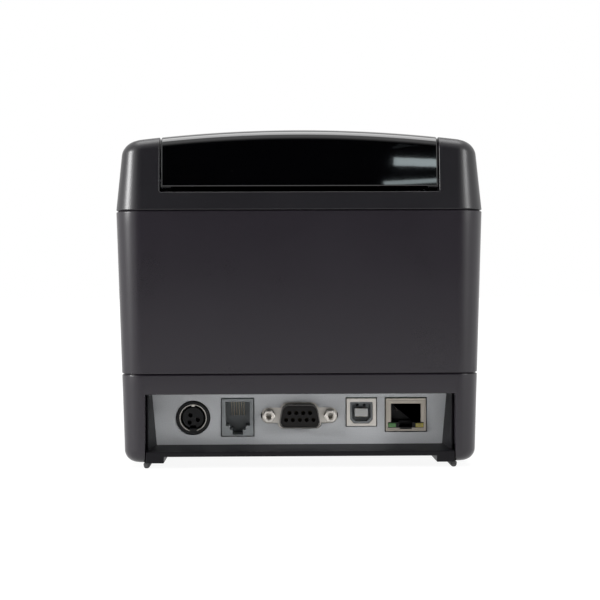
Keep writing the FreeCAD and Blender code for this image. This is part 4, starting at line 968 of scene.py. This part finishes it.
# Platen: a steel shaft with a rubber sleeve, turning in two bushes in the liner's arms.
# It feeds the paper past the print head.
platen_rubber = moulded("platen_rubber", (0.022, 0.022, 0.022), 0.62, 0.2 * mm, 0.006 * mm)
softened("platen_shaft", ground_steel, 0.2 * mm)
softened("platen_rubber", platen_rubber, 0.3 * mm)
softened("platen_bushes", nylon_black, 0.2 * mm)

# Studio: a white floor and surround, with soft boxes overhead and at both sides.
# The side boxes are flagged off the gloss pieces, the buttons and the blades.
# A dark card behind the camera keeps the rear faces black, and two cool panes make the lid's glints.
bpy.ops.object.select_all(action="DESELECT")
bpy.ops.mesh.primitive_plane_add(size=12)
floor = bpy.context.object
floor.name = "floor"


def seen(shader):
    """1 for rays from the camera, or seen by it in a gloss or through a clear surface."""
    path = shader.node("ShaderNodeLightPath", output="Is Camera Ray")
    bounced = shader.maths("MAXIMUM", path.twin("Is Glossy Ray"), path.twin("Is Transmission Ray"))
    return shader.maths("MAXIMUM", path, bounced)


def smooth_step(shader, value, start, end, highest):
    """From 0 at the start to the highest at the end, without corners."""
    sockets = {"Value": value, "From Min": start, "From Max": end, "To Min": 0.0, "To Max": highest}
    return shader.node("ShaderNodeMapRange", {"interpolation_type": "SMOOTHSTEP"}, sockets)


floor_white = Finish("floor_white", {"Base Color": (0.8, 0.8, 0.8, 1), "Roughness": 0.9})
glow = floor_white.node("ShaderNodeEmission", sockets={"Color": (1, 1, 1, 1), "Strength": 1.15})
body = Signal(floor_white, floor_white.shader.outputs[0])
away = floor_white.node(
    "ShaderNodeVectorMath", {"operation": "LENGTH"}, {0: floor_white.place}, output="Value"
)
near_glow = 0.8
far_glow = smooth_step(floor_white, away, 0.4, 0.65, 1 - near_glow)
camera_ray = floor_white.node("ShaderNodeLightPath", output="Is Camera Ray")
share = seen(floor_white) * near_glow + camera_ray * far_glow
paper = floor_white.node("ShaderNodeMixShader", sockets={0: share, 1: body, 2: glow})
floor_white.connect(paper, floor_white.tree.nodes["Material Output"].inputs["Surface"])
floor.data.materials.append(floor_white.material)

world = bpy.data.worlds.new("surround")
bpy.context.scene.world = world
world.use_nodes = True
surround = Nodes(world.node_tree)
ambient = surround.node("ShaderNodeBackground", sockets={"Color": (1, 1, 1, 1), "Strength": 0.35})
white = surround.node("ShaderNodeBackground", sockets={"Color": (1, 1, 1, 1), "Strength": 1.0})
backdrop = surround.node("ShaderNodeMixShader", sockets={0: seen(surround), 1: ambient, 2: white})
surround.connect(backdrop, world.node_tree.nodes["World Output"].inputs["Surface"])


def soft_box(name, place, width, height, power, colour=(1, 1, 1), turn=0):
    """A rectangular lamp aimed at the printer, turned a little about its beam."""
    lamp = bpy.data.lights.new(name, "AREA")
    lamp.shape = "RECTANGLE"
    lamp.size = width
    lamp.size_y = height
    lamp.energy = power
    lamp.color = colour
    holder = bpy.data.objects.new(name, lamp)
    holder.location = place
    aim = (Vector((0, 0, 0.07)) - Vector(place)).to_track_quat("-Z", "Y").to_matrix()
    holder.rotation_euler = (aim @ Matrix.Rotation(turn, 3, "Z")).to_euler()
    bpy.context.scene.collection.objects.link(holder)
    return holder


left_box = soft_box("left_box", (1.30, 0.52, 0.42), width=0.34, height=0.3, power=16)
right_box = soft_box("right_box", (-1.10, 0.86, 0.44), width=0.26, height=0.3, power=5.5)
soft_box("top_box", (0, -0.1, 1.6), width=1.6, height=1.0, power=20)

flagged = bpy.data.collections.new("flagged")
for name in (
    "lid_cover", "front_cover_shell", "tear_bar_finished", "fixed_blade_finished",
    "feed_button_finished", "release_button_finished", "indicator_lenses_finished",
):
    flagged.objects.link(bpy.data.objects[name])
for entry in flagged.collection_objects:
    entry.light_linking.link_state = "EXCLUDE"
for lamp in (left_box, right_box):
    lamp.light_linking.receiver_collection = flagged

card_shade = Finish(
    "card_shade",
    {"Roughness": 1.0, "Base Color": (0.003, 0.003, 0.003, 1), "Specular IOR Level": 0.0},
)
height = card_shade.node("ShaderNodeSeparateXYZ", sockets={"Vector": card_shade.place}, output="Z")
fade = smooth_step(card_shade, height, 0.8, 2.2, 1.0)
card_shade.feed("Emission Color", card_shade.mix(fade, (0, 0, 0, 1), (1, 1, 1, 1)))
card_shade.feed("Emission Strength", 1.0)
for name, low, high in (
    ("dark_card", (-0.9, 1.5, 0.0), (0.9, 1.52, 2.2)),
    ("dark_mat", (-0.9, 0.74, 0.001), (0.9, 1.5, 0.003)),
):
    card = box(name, low, high)
    card.visible_camera = False
    card.data.materials.append(card_shade.material)

cool = (0.84, 0.97, 1.0)
upper_turn = math.radians(-4)
lower_turn = math.radians(2)
soft_box("upper_pane", (-0.186, 1.45, 0.521), 0.070, 0.0155, power=0.0170, colour=cool, turn=upper_turn)
soft_box("lower_pane", (-0.178, 1.45, 0.482), 0.083, 0.0080, power=0.0080, colour=cool, turn=lower_turn)

# Camera: behind the printer, a little to its right, level with the middle of the casing.
# A long lens keeps the upright edges nearly parallel.
focal_pixels = 1535.8
picture = 600
camera = bpy.data.cameras.new("camera")
camera.sensor_width = 36
camera.lens = camera.sensor_width * focal_pixels / picture
viewer = bpy.data.objects.new("camera", camera)
bpy.context.scene.collection.objects.link(viewer)
viewer.location = (0.0114, 0.6976, 0.0738)
viewer.rotation_euler = (math.radians(89.317), math.radians(0.215), math.radians(178.921))
bpy.context.scene.camera = viewer
bpy.context.scene.view_settings.view_transform = "Standard"
